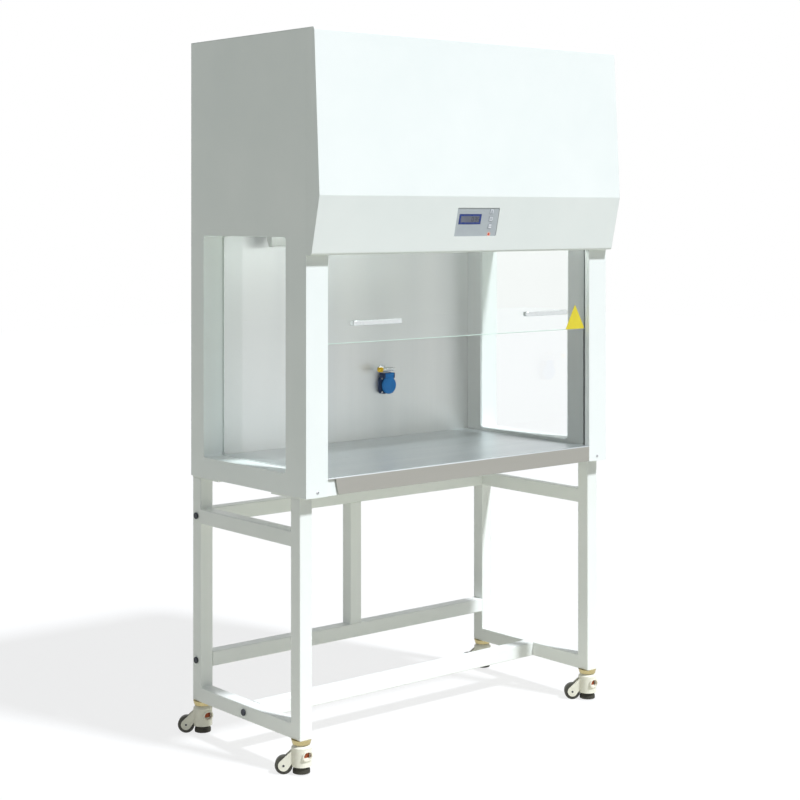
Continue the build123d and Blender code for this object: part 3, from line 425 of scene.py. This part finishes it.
# Runs a tree over a seed mesh with these values, and gives the result as a plain piece.
def grownPiece(pieceName, seed, tree, values, material, body, nodes=(), sharp=32):
    piece = bpy.data.objects.new(pieceName, seed)
    bpy.context.scene.collection.objects.link(piece)
    growth = piece.modifiers.new("growth", "NODES")
    growth.node_group = tree
    sockets = {item.name: item.identifier for item in tree.interface.items_tree if item.in_out == "INPUT"}
    for label, value in values.items():
        growth[sockets[label]] = value
    growth[sockets["Material"]] = material
    depsgraph = bpy.context.evaluated_depsgraph_get()
    mesh = bpy.data.meshes.new_from_object(piece.evaluated_get(depsgraph))
    piece.modifiers.clear()
    piece.data = mesh
    mesh.name = pieceName
    mesh.shade_smooth()
    mesh.set_sharp_from_angle(angle=math.radians(sharp))
    return dress(piece, body, nodes)


# A mesh of loose points, each with the direction that its screw faces.
def pointSeed(name, places):
    seed = bpy.data.meshes.new(name)
    seed.from_pydata([place for place, facing in places], [], [])
    facings = seed.attributes.new("facing", "FLOAT_VECTOR", "POINT")
    for index, (place, facing) in enumerate(places):
        facings.data[index].vector = facing
    return seed


# A mesh of open or closed lines, each a list of corner points.
def lineSeed(name, lines, closed=False):
    points, edges = [], []
    for line in lines:
        first = len(points)
        points += [tuple(p) for p in line]
        edges += [(first + i, first + i + 1) for i in range(len(line) - 1)]
        if closed:
            edges.append((len(points) - 1, first))
    seed = bpy.data.meshes.new(name)
    seed.from_pydata(points, edges, [])
    return seed


# Pan-head screw: a washer-faced disc with a narrower crown and a cross recess cut into it.
def screwTree():
    tree, given = newTree("panHeadScrews", {
        "Head Diameter": 0.008, "Head Height": 0.0022, "Recess Width": 0.0011})
    diameter, height, recess = given["Head Diameter"], given["Head Height"], given["Recess Width"]
    radius = addNode(tree, "ShaderNodeMath", {"operation": "MULTIPLY"}, {0: diameter, 1: 0.5})
    crownRadius = addNode(tree, "ShaderNodeMath", {"operation": "MULTIPLY"}, {0: radius, 1: 0.62})
    rim = addNode(tree, "ShaderNodeMath", {"operation": "MULTIPLY"}, {0: height, 1: 0.55})
    crown = addNode(tree, "ShaderNodeMath", {"operation": "MULTIPLY"}, {0: height, 1: 0.45})
    halfRim = addNode(tree, "ShaderNodeMath", {"operation": "MULTIPLY"}, {0: rim, 1: 0.5})
    disc = addNode(tree, "GeometryNodeMeshCylinder", inputs={
        "Vertices": 24, "Radius": radius, "Depth": rim})
    discPlace = addNode(tree, "ShaderNodeCombineXYZ", inputs={"Z": halfRim})
    base = addNode(tree, "GeometryNodeTransform", inputs={"Geometry": disc, "Translation": discPlace})
    cone = addNode(tree, "GeometryNodeMeshCone", inputs={
        "Vertices": 24, "Radius Bottom": radius, "Radius Top": crownRadius, "Depth": crown})
    conePlace = addNode(tree, "ShaderNodeCombineXYZ", inputs={"Z": rim})
    top = addNode(tree, "GeometryNodeTransform", inputs={"Geometry": cone, "Translation": conePlace})
    cutPlace = addNode(tree, "ShaderNodeCombineXYZ", inputs={"Z": height})
    cuts = []
    for x, y in ((radius, recess), (recess, radius)):
        size = addNode(tree, "ShaderNodeCombineXYZ", inputs={"X": x, "Y": y, "Z": height})
        blade = addNode(tree, "GeometryNodeMeshCube", inputs={"Size": size})
        cuts.append(addNode(tree, "GeometryNodeTransform", inputs={
            "Geometry": blade, "Translation": cutPlace}))
    solid = addNode(tree, "GeometryNodeMeshBoolean", {"operation": "UNION", "solver": "EXACT"}, {
        "Mesh 2": [base, top]})
    head = addNode(tree, "GeometryNodeMeshBoolean", {"operation": "DIFFERENCE", "solver": "EXACT"}, {
        "Mesh 1": solid, "Mesh 2": cuts})
    facing = addNode(tree, "GeometryNodeInputNamedAttribute", {"data_type": "FLOAT_VECTOR"}, {
        "Name": "facing"})
    turn = addNode(tree, "FunctionNodeAlignRotationToVector", {"axis": "Z"}, {"Vector": facing})
    spin = addNode(tree, "FunctionNodeRandomValue", {"data_type": "FLOAT"}, {"Seed": 7})
    angle = addNode(tree, "ShaderNodeMath", {"operation": "MULTIPLY"}, {0: spin, 1: math.pi})
    own = addNode(tree, "FunctionNodeAxisAngleToRotation", inputs={"Axis": (0, 0, 1), "Angle": angle})
    both = addNode(tree, "FunctionNodeRotateRotation", {"rotation_space": "LOCAL"}, {
        "Rotation": turn, "Rotate By": own})
    heads = addNode(tree, "GeometryNodeInstanceOnPoints", inputs={
        "Points": given["Geometry"], "Instance": head, "Rotation": both})
    closeTree(tree, given, heads)
    return tree


# A round bead drawn along lines, with rounded corners and a slight waviness in its thickness.
def beadTree():
    tree, given = newTree("roundBead", {
        "Bead Radius": 0.002, "Corner Radius": 0.008, "Waviness": 0.05, "Wave Pitch": 0.02})
    pitch = given["Wave Pitch"]
    line = addNode(tree, "GeometryNodeMeshToCurve", inputs={"Mesh": given["Geometry"]})
    bent = addNode(tree, "GeometryNodeFilletCurve", {"mode": "POLY"}, {
        "Curve": line, "Radius": given["Corner Radius"], "Count": 6})
    step = addNode(tree, "ShaderNodeMath", {"operation": "MULTIPLY"}, {0: pitch, 1: 0.5})
    fine = addNode(tree, "GeometryNodeResampleCurve", {"mode": "LENGTH"}, {"Curve": bent, "Length": step})
    scale = addNode(tree, "ShaderNodeMath", {"operation": "DIVIDE"}, {0: 1.0, 1: pitch})
    noise = addNode(tree, "ShaderNodeTexNoise", inputs={"Scale": scale, "Detail": 1.0})
    level = addNode(tree, "ShaderNodeMath", {"operation": "SUBTRACT"}, {0: noise, 1: 0.5})
    wave = addNode(tree, "ShaderNodeMath", {"operation": "MULTIPLY_ADD"}, {
        0: level, 1: given["Waviness"], 2: 1.0})
    thick = addNode(tree, "GeometryNodeSetCurveRadius", inputs={"Curve": fine, "Radius": wave})
    profile = addNode(tree, "GeometryNodeCurvePrimitiveCircle", inputs={
        "Resolution": 8, "Radius": given["Bead Radius"]})
    sweep = addNode(tree, "GeometryNodeCurveToMesh", inputs={
        "Curve": thick, "Profile Curve": profile, "Fill Caps": True})
    closeTree(tree, given, sweep)
    return tree


screws = screwTree()
beads = beadTree()

# Screw heads: the posts' feet, the socket's corners and the back panel's edges.
panelScrew = {"Head Diameter": 0.008, "Head Height": 0.0022, "Recess Width": 0.0011}
socketScrew = {"Head Diameter": 0.0062, "Head Height": 0.0016, "Recess Width": 0.0009}
socketLow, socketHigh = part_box("socket_base")
postLow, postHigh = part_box("right_outer_skin")
frontWay, backWay, upWay = Vector((0, -1, 0)), Vector((0, 1, 0)), Vector((0, 0, 1))


def postScrews():
    sizes = {"inset": 0.037, "rise": 0.014}
    x = postHigh.x - sizes["inset"]
    z = postLow.z + sizes["rise"]
    return [(Vector((side * x, postLow.y, z)), frontWay) for side in (-1, 1)]


def rearScrews():
    sizes = {"inset": 0.010, "rows": 8, "columns": 6, "end": 0.03}
    rise = (backHigh.z - backLow.z - 2 * sizes["end"]) / (sizes["rows"] - 1)
    run = (backHigh.x - backLow.x - 2 * sizes["inset"]) / (sizes["columns"] - 1)
    places = []
    for row in range(sizes["rows"]):
        for side in (-1, 1):
            z = backLow.z + sizes["end"] + row * rise
            places.append((Vector((side * (backHigh.x - sizes["inset"]), backHigh.y, z)), backWay))
    for column in range(1, sizes["columns"] - 1):
        for z in (backLow.z + sizes["inset"], backHigh.z - sizes["inset"]):
            places.append((Vector((backLow.x + sizes["inset"] + column * run, backHigh.y, z)), backWay))
    return places


# The socket's flange is a square a little lower than the box, because the lid's ears rise over it.
def socketScrews():
    sizes = {"flange": 0.051, "reach": 0.0205, "face": 0.012}
    x = (socketLow.x + socketHigh.x) / 2
    z = socketLow.z + sizes["flange"] / 2
    y = socketHigh.y - sizes["face"]
    corners = [(i * sizes["reach"], j * sizes["reach"]) for i in (-1, 1) for j in (-1, 1)]
    return [(Vector((x + across, y, z + up)), frontWay) for across, up in corners]


grownPiece("panel_screws", pointSeed("panelScrewPlaces", postScrews() + rearScrews()), screws, panelScrew,
           screwSteel, "cabinet")
grownPiece("socket_screws", pointSeed("socketScrewPlaces", socketScrews()), screws, socketScrew,
           screwSteel, "cabinet")

# The axle's pin ends show as dark dots on both outer faces of each caster's fork.
axlePin = {"Head Diameter": 0.006, "Head Height": 0.0006, "Recess Width": 0.0005}
forkSizes = {"armOuter": 0.014, "trail": 0.045, "bearing": 140.0, "axleLevel": 0.023}
legLow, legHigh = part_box("right_stand_frame")
for name in casterNames:
    plateX = math.copysign((legLow.x + legHigh.x) / 2, -1 if "left" in name else 1)
    half = (legHigh.x - legLow.x) / 2
    plateY = legLow.y + half if "front" in name else legHigh.y - half
    bearing = math.radians(forkSizes["bearing"])
    ahead = Vector((math.cos(bearing), math.sin(bearing), 0))
    aside = Vector((-math.sin(bearing), math.cos(bearing), 0))
    centre = Vector((plateX, plateY, forkSizes["axleLevel"])) + ahead * forkSizes["trail"]
    places = [(centre + aside * side * forkSizes["armOuter"], aside * side) for side in (-1, 1)]
    grownPiece(name + "_axle_pins", pointSeed(name + "PinPlaces", places), screws, axlePin,
               pinSteel, bodyOf[name + "_caster_housing"])
print("screws and pins placed")

sealantBead = {"Bead Radius": 0.0018, "Corner Radius": 0.008, "Waviness": 0.06, "Wave Pitch": 0.03}


# Sealant beads round both panes: in the corner between glass and reveal outside, on the liner's edge inside.
def windowLoops():
    sizes = {"overlap": 0.008}
    loops = []
    for node in ("left_window", "right_window"):
        low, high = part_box(node)
        y0, y1 = low.y + sizes["overlap"], high.y - sizes["overlap"]
        z0, z1 = low.z + sizes["overlap"], high.z - sizes["overlap"]
        outer, inner = (low.x, high.x) if node == "left_window" else (high.x, low.x)
        away = math.copysign(sealantBead["Bead Radius"] * 0.4, outer)
        for x in (outer + away, inner - away):
            loops.append([(x, y0, z0), (x, y1, z0), (x, y1, z1), (x, y0, z1)])
    return loops


grownPiece("window_sealant", lineSeed("windowSealantLines", windowLoops(), closed=True), beads, sealantBead,
           sealant, "cabinet")

weldBead = {"Bead Radius": 0.0022, "Corner Radius": 0.0, "Waviness": 0.5, "Wave Pitch": 0.006}


# Welds where the rails meet the legs: one bead above and one below each rail, across the tube's width.
def weldLines():
    sizes = {"tube": 0.040, "lowerRail": 0.109, "upperRail": 0.600, "rearBar": 0.202, "corner": 0.003}
    half = sizes["tube"] / 2
    lines = []
    for side in (-1, 1):
        x = side * (legLow.x + legHigh.x) / 2
        reach = half - sizes["corner"]
        for y in (legLow.y + sizes["tube"], legHigh.y - sizes["tube"]):
            for z in (sizes["lowerRail"], sizes["upperRail"]):
                for rise in (-half, half):
                    lines.append([(x - reach, y, z + rise), (x + reach, y, z + rise)])
    rearY = legHigh.y - half
    for z in (sizes["rearBar"] + half, sizes["upperRail"] - half):
        for y in (rearY - half, rearY + half):
            lines.append([(-reach, y, z), (reach, y, z)])
    return lines


grownPiece("stand_welds", lineSeed("standWeldLines", weldLines()), beads, weldBead,
           weldCoat, "cabinet")
print("sealant and welds drawn")


# Perforated ceiling sheet under the filter: slots in rows, each with its rim pressed up by the punch.
def diffuserTree():
    tree, given = newTree("slottedSheet", {
        "Columns": 9, "Rows": 10, "Pitch X": 0.1, "Pitch Y": 0.05, "Slot Length": 0.078,
        "Slot Width": 0.016, "Slot Corner": 0.003, "Sheet": 0.0015, "Rim": 0.0008, "Sheet Width": 0.96,
        "Sheet Depth": 0.5, "Flange": 0.012})
    columns, rows, pitchX, pitchY = (given[name] for name in ("Columns", "Rows", "Pitch X", "Pitch Y"))
    sheet, flange = given["Sheet"], given["Flange"]

    # A flat frame of the sheet's thickness, between an outline and a hole.
    def plate(outline, hole):
        both = addNode(tree, "GeometryNodeJoinGeometry", inputs={0: [outline, hole]})
        filled = addNode(tree, "GeometryNodeFillCurve", inputs={"Curve": both})
        thick = addNode(tree, "GeometryNodeExtrudeMesh", inputs={
            "Mesh": filled, "Offset Scale": sheet, "Individual": False})
        under = addNode(tree, "GeometryNodeFlipFaces", inputs={"Mesh": filled})
        return addNode(tree, "GeometryNodeJoinGeometry", inputs={0: [thick, under]})

    slotOutline = addNode(tree, "GeometryNodeCurvePrimitiveQuadrilateral", inputs={
        "Width": given["Slot Length"], "Height": given["Slot Width"]})
    slot = addNode(tree, "GeometryNodeFilletCurve", {"mode": "POLY"}, {
        "Curve": slotOutline, "Radius": given["Slot Corner"], "Count": 3})
    cellOutline = addNode(tree, "GeometryNodeCurvePrimitiveQuadrilateral", inputs={
        "Width": pitchX, "Height": pitchY})
    cell = plate(cellOutline, slot)
    edge = addNode(tree, "GeometryNodeCurvePrimitiveCircle", inputs={
        "Resolution": 6, "Radius": given["Rim"]})
    rim = addNode(tree, "GeometryNodeCurveToMesh", inputs={"Curve": slot, "Profile Curve": edge})
    rimPlace = addNode(tree, "ShaderNodeCombineXYZ", inputs={"Z": sheet})
    lifted = addNode(tree, "GeometryNodeTransform", inputs={"Geometry": rim, "Translation": rimPlace})
    punched = addNode(tree, "GeometryNodeJoinGeometry", inputs={0: [cell, lifted]})
    steps = [addNode(tree, "ShaderNodeMath", {"operation": "SUBTRACT"}, {0: count, 1: 1.0})
             for count in (columns, rows)]
    spans = [addNode(tree, "ShaderNodeMath", {"operation": "MULTIPLY"}, {0: pitch, 1: step})
             for pitch, step in zip((pitchX, pitchY), steps)]
    grid = addNode(tree, "GeometryNodeMeshGrid", inputs={
        "Size X": spans[0], "Size Y": spans[1], "Vertices X": columns, "Vertices Y": rows})
    cells = addNode(tree, "GeometryNodeInstanceOnPoints", inputs={"Points": grid, "Instance": punched})
    sides = [addNode(tree, "ShaderNodeMath", {"operation": "MULTIPLY"}, {0: pitch, 1: count})
             for pitch, count in ((pitchX, columns), (pitchY, rows))]
    field = addNode(tree, "GeometryNodeCurvePrimitiveQuadrilateral", inputs={
        "Width": sides[0], "Height": sides[1]})
    rectangle = addNode(tree, "GeometryNodeCurvePrimitiveQuadrilateral", inputs={
        "Width": given["Sheet Width"], "Height": given["Sheet Depth"]})
    border = plate(rectangle, field)
    wallSize = addNode(tree, "ShaderNodeCombineXYZ", inputs={
        "X": given["Sheet Width"], "Y": sheet, "Z": flange})
    wall = addNode(tree, "GeometryNodeMeshCube", inputs={"Size": wallSize})
    inset = addNode(tree, "ShaderNodeMath", {"operation": "SUBTRACT"}, {0: given["Sheet Depth"], 1: sheet})
    rise = addNode(tree, "ShaderNodeMath", {"operation": "MULTIPLY"}, {0: flange, 1: 0.5})
    walls = []
    for side in (-0.5, 0.5):
        reach = addNode(tree, "ShaderNodeMath", {"operation": "MULTIPLY"}, {0: inset, 1: side})
        wallPlace = addNode(tree, "ShaderNodeCombineXYZ", inputs={"Y": reach, "Z": rise})
        walls.append(addNode(tree, "GeometryNodeTransform", inputs={
            "Geometry": wall, "Translation": wallPlace}))
    whole = addNode(tree, "GeometryNodeJoinGeometry", inputs={0: [cells, border, *walls]})
    placed = addNode(tree, "GeometryNodeInstanceOnPoints", inputs={
        "Points": given["Geometry"], "Instance": whole})
    closeTree(tree, given, placed)
    return tree


diffuserLow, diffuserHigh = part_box("ceiling_diffuser")
filterLow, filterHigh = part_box("hepa_filter")
punching = {
    "Columns": 9, "Rows": 10, "Slot Length": 0.078, "Slot Width": 0.016, "Sheet": 0.0015, "Flange": 0.012}
middle = (diffuserLow + diffuserHigh) / 2
diffuserPlace = pointSeed("diffuserPlace", [(Vector((middle.x, middle.y, diffuserLow.z)), upWay)])
grownPiece("slotted_ceiling_sheet", diffuserPlace, diffuserTree(), {
    **punching, "Pitch X": (filterHigh.x - filterLow.x) / punching["Columns"],
    "Pitch Y": (filterHigh.y - filterLow.y) / punching["Rows"],
    "Sheet Width": diffuserHigh.x - diffuserLow.x, "Sheet Depth": diffuserHigh.y - diffuserLow.y},
    finish["diffuser_coat"], "cabinet", ["ceiling_diffuser"])
print("ceiling sheet punched")


# The centre and outward normal of the flat face of a node that looks most nearly along a direction.
def faceOf(node, towards):
    mesh = frame["nodes"][node].data
    facing = [face for face in mesh.polygons if face.normal.dot(towards) > 0.9]
    normal = facing[0].normal.copy()
    level = max(face.center.dot(normal) for face in facing)
    outermost = [face for face in facing if level - face.center.dot(normal) < 0.00005]
    corners = [mesh.vertices[index].co for face in outermost for index in face.vertices]
    low = Vector([min(corner[axis] for corner in corners) for axis in range(3)])
    high = Vector([max(corner[axis] for corner in corners) for axis in range(3)])
    return (low + high) / 2, normal


# Thin raised figures on a sloping face, from flat outlines in millimetres about the face's centre.
def raisedFigure(pieceName, outlines, place, height, material, body):
    centre, normal = place
    across = Vector((1, 0, 0))
    up = normal.cross(across)
    points, faces = [], []
    for outline in outlines:
        first = len(points)
        count = len(outline)
        for depth in (-0.02 * mm, height * mm):  # sunk a little, so that no gap shows under it
            points += [centre + across * x * mm + up * y * mm + normal * depth for x, y in outline]
        faces.append([first + i for i in reversed(range(count))])
        faces.append([first + count + i for i in range(count)])
        faces += [[first + i, first + (i + 1) % count, first + count + (i + 1) % count, first + count + i]
                  for i in range(count)]
    mesh = bpy.data.meshes.new(pieceName)
    mesh.from_pydata([tuple(p) for p in points], [], faces)
    mesh.materials.append(material)
    piece = bpy.data.objects.new(pieceName, mesh)
    return dress(piece, body)


def bar(x, y, width, height):
    return [(x - width / 2, y - height / 2), (x + width / 2, y - height / 2),
            (x + width / 2, y + height / 2), (x - width / 2, y + height / 2)]


# A ring as four-cornered pieces that meet side to side.
def ring(inner, outer, steps=24):
    turns = [2 * math.pi * step / steps for step in range(steps + 1)]
    return [[(inner * math.cos(a), inner * math.sin(a)), (outer * math.cos(a), outer * math.sin(a)),
             (outer * math.cos(b), outer * math.sin(b)), (inner * math.cos(b), inner * math.sin(b))]
            for a, b in zip(turns, turns[1:])]


# Seven segments to a digit: which are on, in the order top, upper right, lower right, bottom, lower left,
# upper left, middle.
segmentsOn = {"0": "1111110", "3": "1111001", "5": "1011011"}


def digit(figure, x, width, height, stroke):
    w, h = width / 2, height / 2
    bars = [bar(x, h, width, stroke), bar(x + w, h / 2, stroke, h), bar(x + w, -h / 2, stroke, h),
            bar(x, -h, width, stroke), bar(x - w, -h / 2, stroke, h), bar(x - w, h / 2, stroke, h),
            bar(x, 0, width, stroke)]
    return [shape for shape, on in zip(bars, segmentsOn[figure]) if on == "1"]


panelWay = Vector((0, -0.976, -0.218))  # the panel looks forwards and a little down
displayPlace = faceOf("display", panelWay)
screenSizes = {"width": 67, "height": 17, "pitch": 10, "dot": 1.6}
digitSizes = {"width": 6, "height": 11, "stroke": 1.9}
raisedFigure("display_screen", [bar(0, 0, screenSizes["width"], screenSizes["height"])], displayPlace, 0.08,
             screenFilm, "cabinet")
pitch, dot = screenSizes["pitch"], screenSizes["dot"]
figures = [bar(1.5 * pitch, -digitSizes["height"] / 2, dot, dot)]
for figure, step in (("0", 0.9), ("3", 2), ("5", 3)):
    figures += digit(figure, step * pitch, **digitSizes)
raisedFigure("display_digits", figures, displayPlace, 0.12, segmentInk, "cabinet")

# Plain signs on the keys: a gate, a square ring and a stack of bars.
keySigns = {
    "top_key": [bar(0, 4.6, 10.4, 1.8), bar(-4.2, -0.8, 2.0, 9), bar(4.2, -0.8, 2.0, 9)],
    "middle_key": [bar(0, 4.4, 9.4, 1.8), bar(0, -4.4, 9.4, 1.8), bar(-4.5, 0, 1.8, 7.4),
                   bar(4.5, 0, 1.8, 7.4), bar(0, 0, 2.6, 2.6)],
    "bottom_key": [bar(0, 4.4, 10.4, 1.8), bar(0, 1.2, 10.4, 2.0), bar(0, -3.4, 10.4, 3.8)],
}
for node, shapes in keySigns.items():
    raisedFigure(node + "_sign", shapes, faceOf(node, panelWay), 0.06, signInk, bodyOf[node])
# A salmon ring round the status lamp, flat on the bezel: painted glow, since the lamp itself gives no light.
lampPlace = faceOf("status_lamp", panelWay)
bezelPlace = faceOf("control_bezel", panelWay)
haloCentre = lampPlace[0] - lampPlace[1] * (lampPlace[0] - bezelPlace[0]).dot(lampPlace[1])
raisedFigure("lamp_painted_glow", ring(3.6, 6.6), (haloCentre, bezelPlace[1]), 0.05, paintedLampGlow, "cabinet")
print("display, keys and lamp marked")

# Studio: pale floor, one large key lamp from the front right, even fill from the world.
# The floor's bounce fades from near to far, in metres from the middle, because ground further off is duller.
studio = {
    "floorSize": 30.0, "near": 0.5, "far": 3.0,
    "nearTone": (0.74, 0.72, 0.62, 1), "farTone": (0.37, 0.38, 0.30, 1),
    "paperTone": (0.86, 0.86, 0.86, 1), "shadowShare": 0.22,
    "fill": 0.36, "fillTone": (0.87, 0.92, 0.98, 1),
    "keyPower": 3.85, "keySoftness": 5.0, "keyTone": (0.91, 0.945, 1.0), "keyFrom": (0.296, -1.0, 1.45),
}

floorMesh = bpy.data.meshes.new("studioFloor")
half = studio["floorSize"] / 2
corners = [(-half, -half, 0), (half, -half, 0), (half, half, 0), (-half, half, 0)]
floorMesh.from_pydata(corners, [], [(0, 1, 2, 3)])
floor = bpy.data.objects.new("studioFloor", floorMesh)
bpy.context.scene.collection.objects.link(floor)


# One where the surroundings are seen, straight, through glass or in a reflection; nought where they light.
def seenSurroundings(tree):
    rays = addNode(tree, "ShaderNodeLightPath").outputs
    direct = addNode(tree, "ShaderNodeMath", {"operation": "MAXIMUM"}, {
        0: rays["Is Camera Ray"], 1: rays["Is Transmission Ray"]})
    return addNode(tree, "ShaderNodeMath", {"operation": "MAXIMUM"}, {0: direct, 1: rays["Is Glossy Ray"]})


floorMaterial, tree = newMaterial("studioFloorPaper")
place = addNode(tree, "ShaderNodeTexCoord").outputs["Object"]
reach = addNode(tree, "ShaderNodeVectorMath", {"operation": "LENGTH"}, {0: place})
away = addNode(tree, "ShaderNodeMapRange", inputs={
    "Value": reach, "From Min": studio["near"], "From Max": studio["far"]})
paving = addNode(tree, "ShaderNodeMix", {"data_type": "RGBA"}, {
    0: away, 6: studio["nearTone"], 7: studio["farTone"]})
bounce = addNode(tree, "ShaderNodeBsdfDiffuse", inputs={"Color": paving})
glow = addNode(tree, "ShaderNodeEmission", inputs={"Color": (1, 1, 1, 1), "Strength": 1.0})
paper = addNode(tree, "ShaderNodeBsdfDiffuse", inputs={"Color": studio["paperTone"]})
shown = addNode(tree, "ShaderNodeMixShader", inputs={0: studio["shadowShare"], 1: glow, 2: paper})
choice = addNode(tree, "ShaderNodeMixShader", inputs={0: seenSurroundings(tree), 1: bounce, 2: shown})
addNode(tree, "ShaderNodeOutputMaterial", inputs={"Surface": choice})
floorMesh.materials.append(floorMaterial)

world = bpy.data.worlds.new("studioWorld")
bpy.context.scene.world = world
world.use_nodes = True
tree = world.node_tree
tree.nodes.clear()
fill = addNode(tree, "ShaderNodeBackground", inputs={
    "Color": studio["fillTone"], "Strength": studio["fill"]})
white = addNode(tree, "ShaderNodeBackground", inputs={"Color": (1, 1, 1, 1), "Strength": 1.0})
choice = addNode(tree, "ShaderNodeMixShader", inputs={0: seenSurroundings(tree), 1: fill, 2: white})
addNode(tree, "ShaderNodeOutputWorld", inputs={"Surface": choice})

key = bpy.data.lights.new("keyLamp", "SUN")
key.energy = studio["keyPower"]
key.angle = math.radians(studio["keySoftness"])
key.color = studio["keyTone"]
keyLamp = bpy.data.objects.new("keyLamp", key)
keyLamp.rotation_mode = "QUATERNION"
keyLamp.rotation_quaternion = Vector(studio["keyFrom"]).to_track_quat("Z", "Y")
bpy.context.scene.collection.objects.link(keyLamp)

# Level camera with a falling lens, so that uprights stay parallel.
view = {"lens": 76.79, "shift": -0.2334, "place": (-3.1398, -3.7256, 1.4344), "turn": -39.96}
camera = bpy.data.cameras.new("viewCamera")
camera.sensor_width = 36
camera.lens = view["lens"]
camera.shift_y = view["shift"]
camera.clip_end = 60
viewCamera = bpy.data.objects.new("viewCamera", camera)
viewCamera.location = view["place"]
viewCamera.rotation_euler = (math.radians(90), 0, math.radians(view["turn"]))
bpy.context.scene.collection.objects.link(viewCamera)
bpy.context.scene.camera = viewCamera
bpy.context.scene.view_settings.view_transform = "Standard"
print("studio ready")
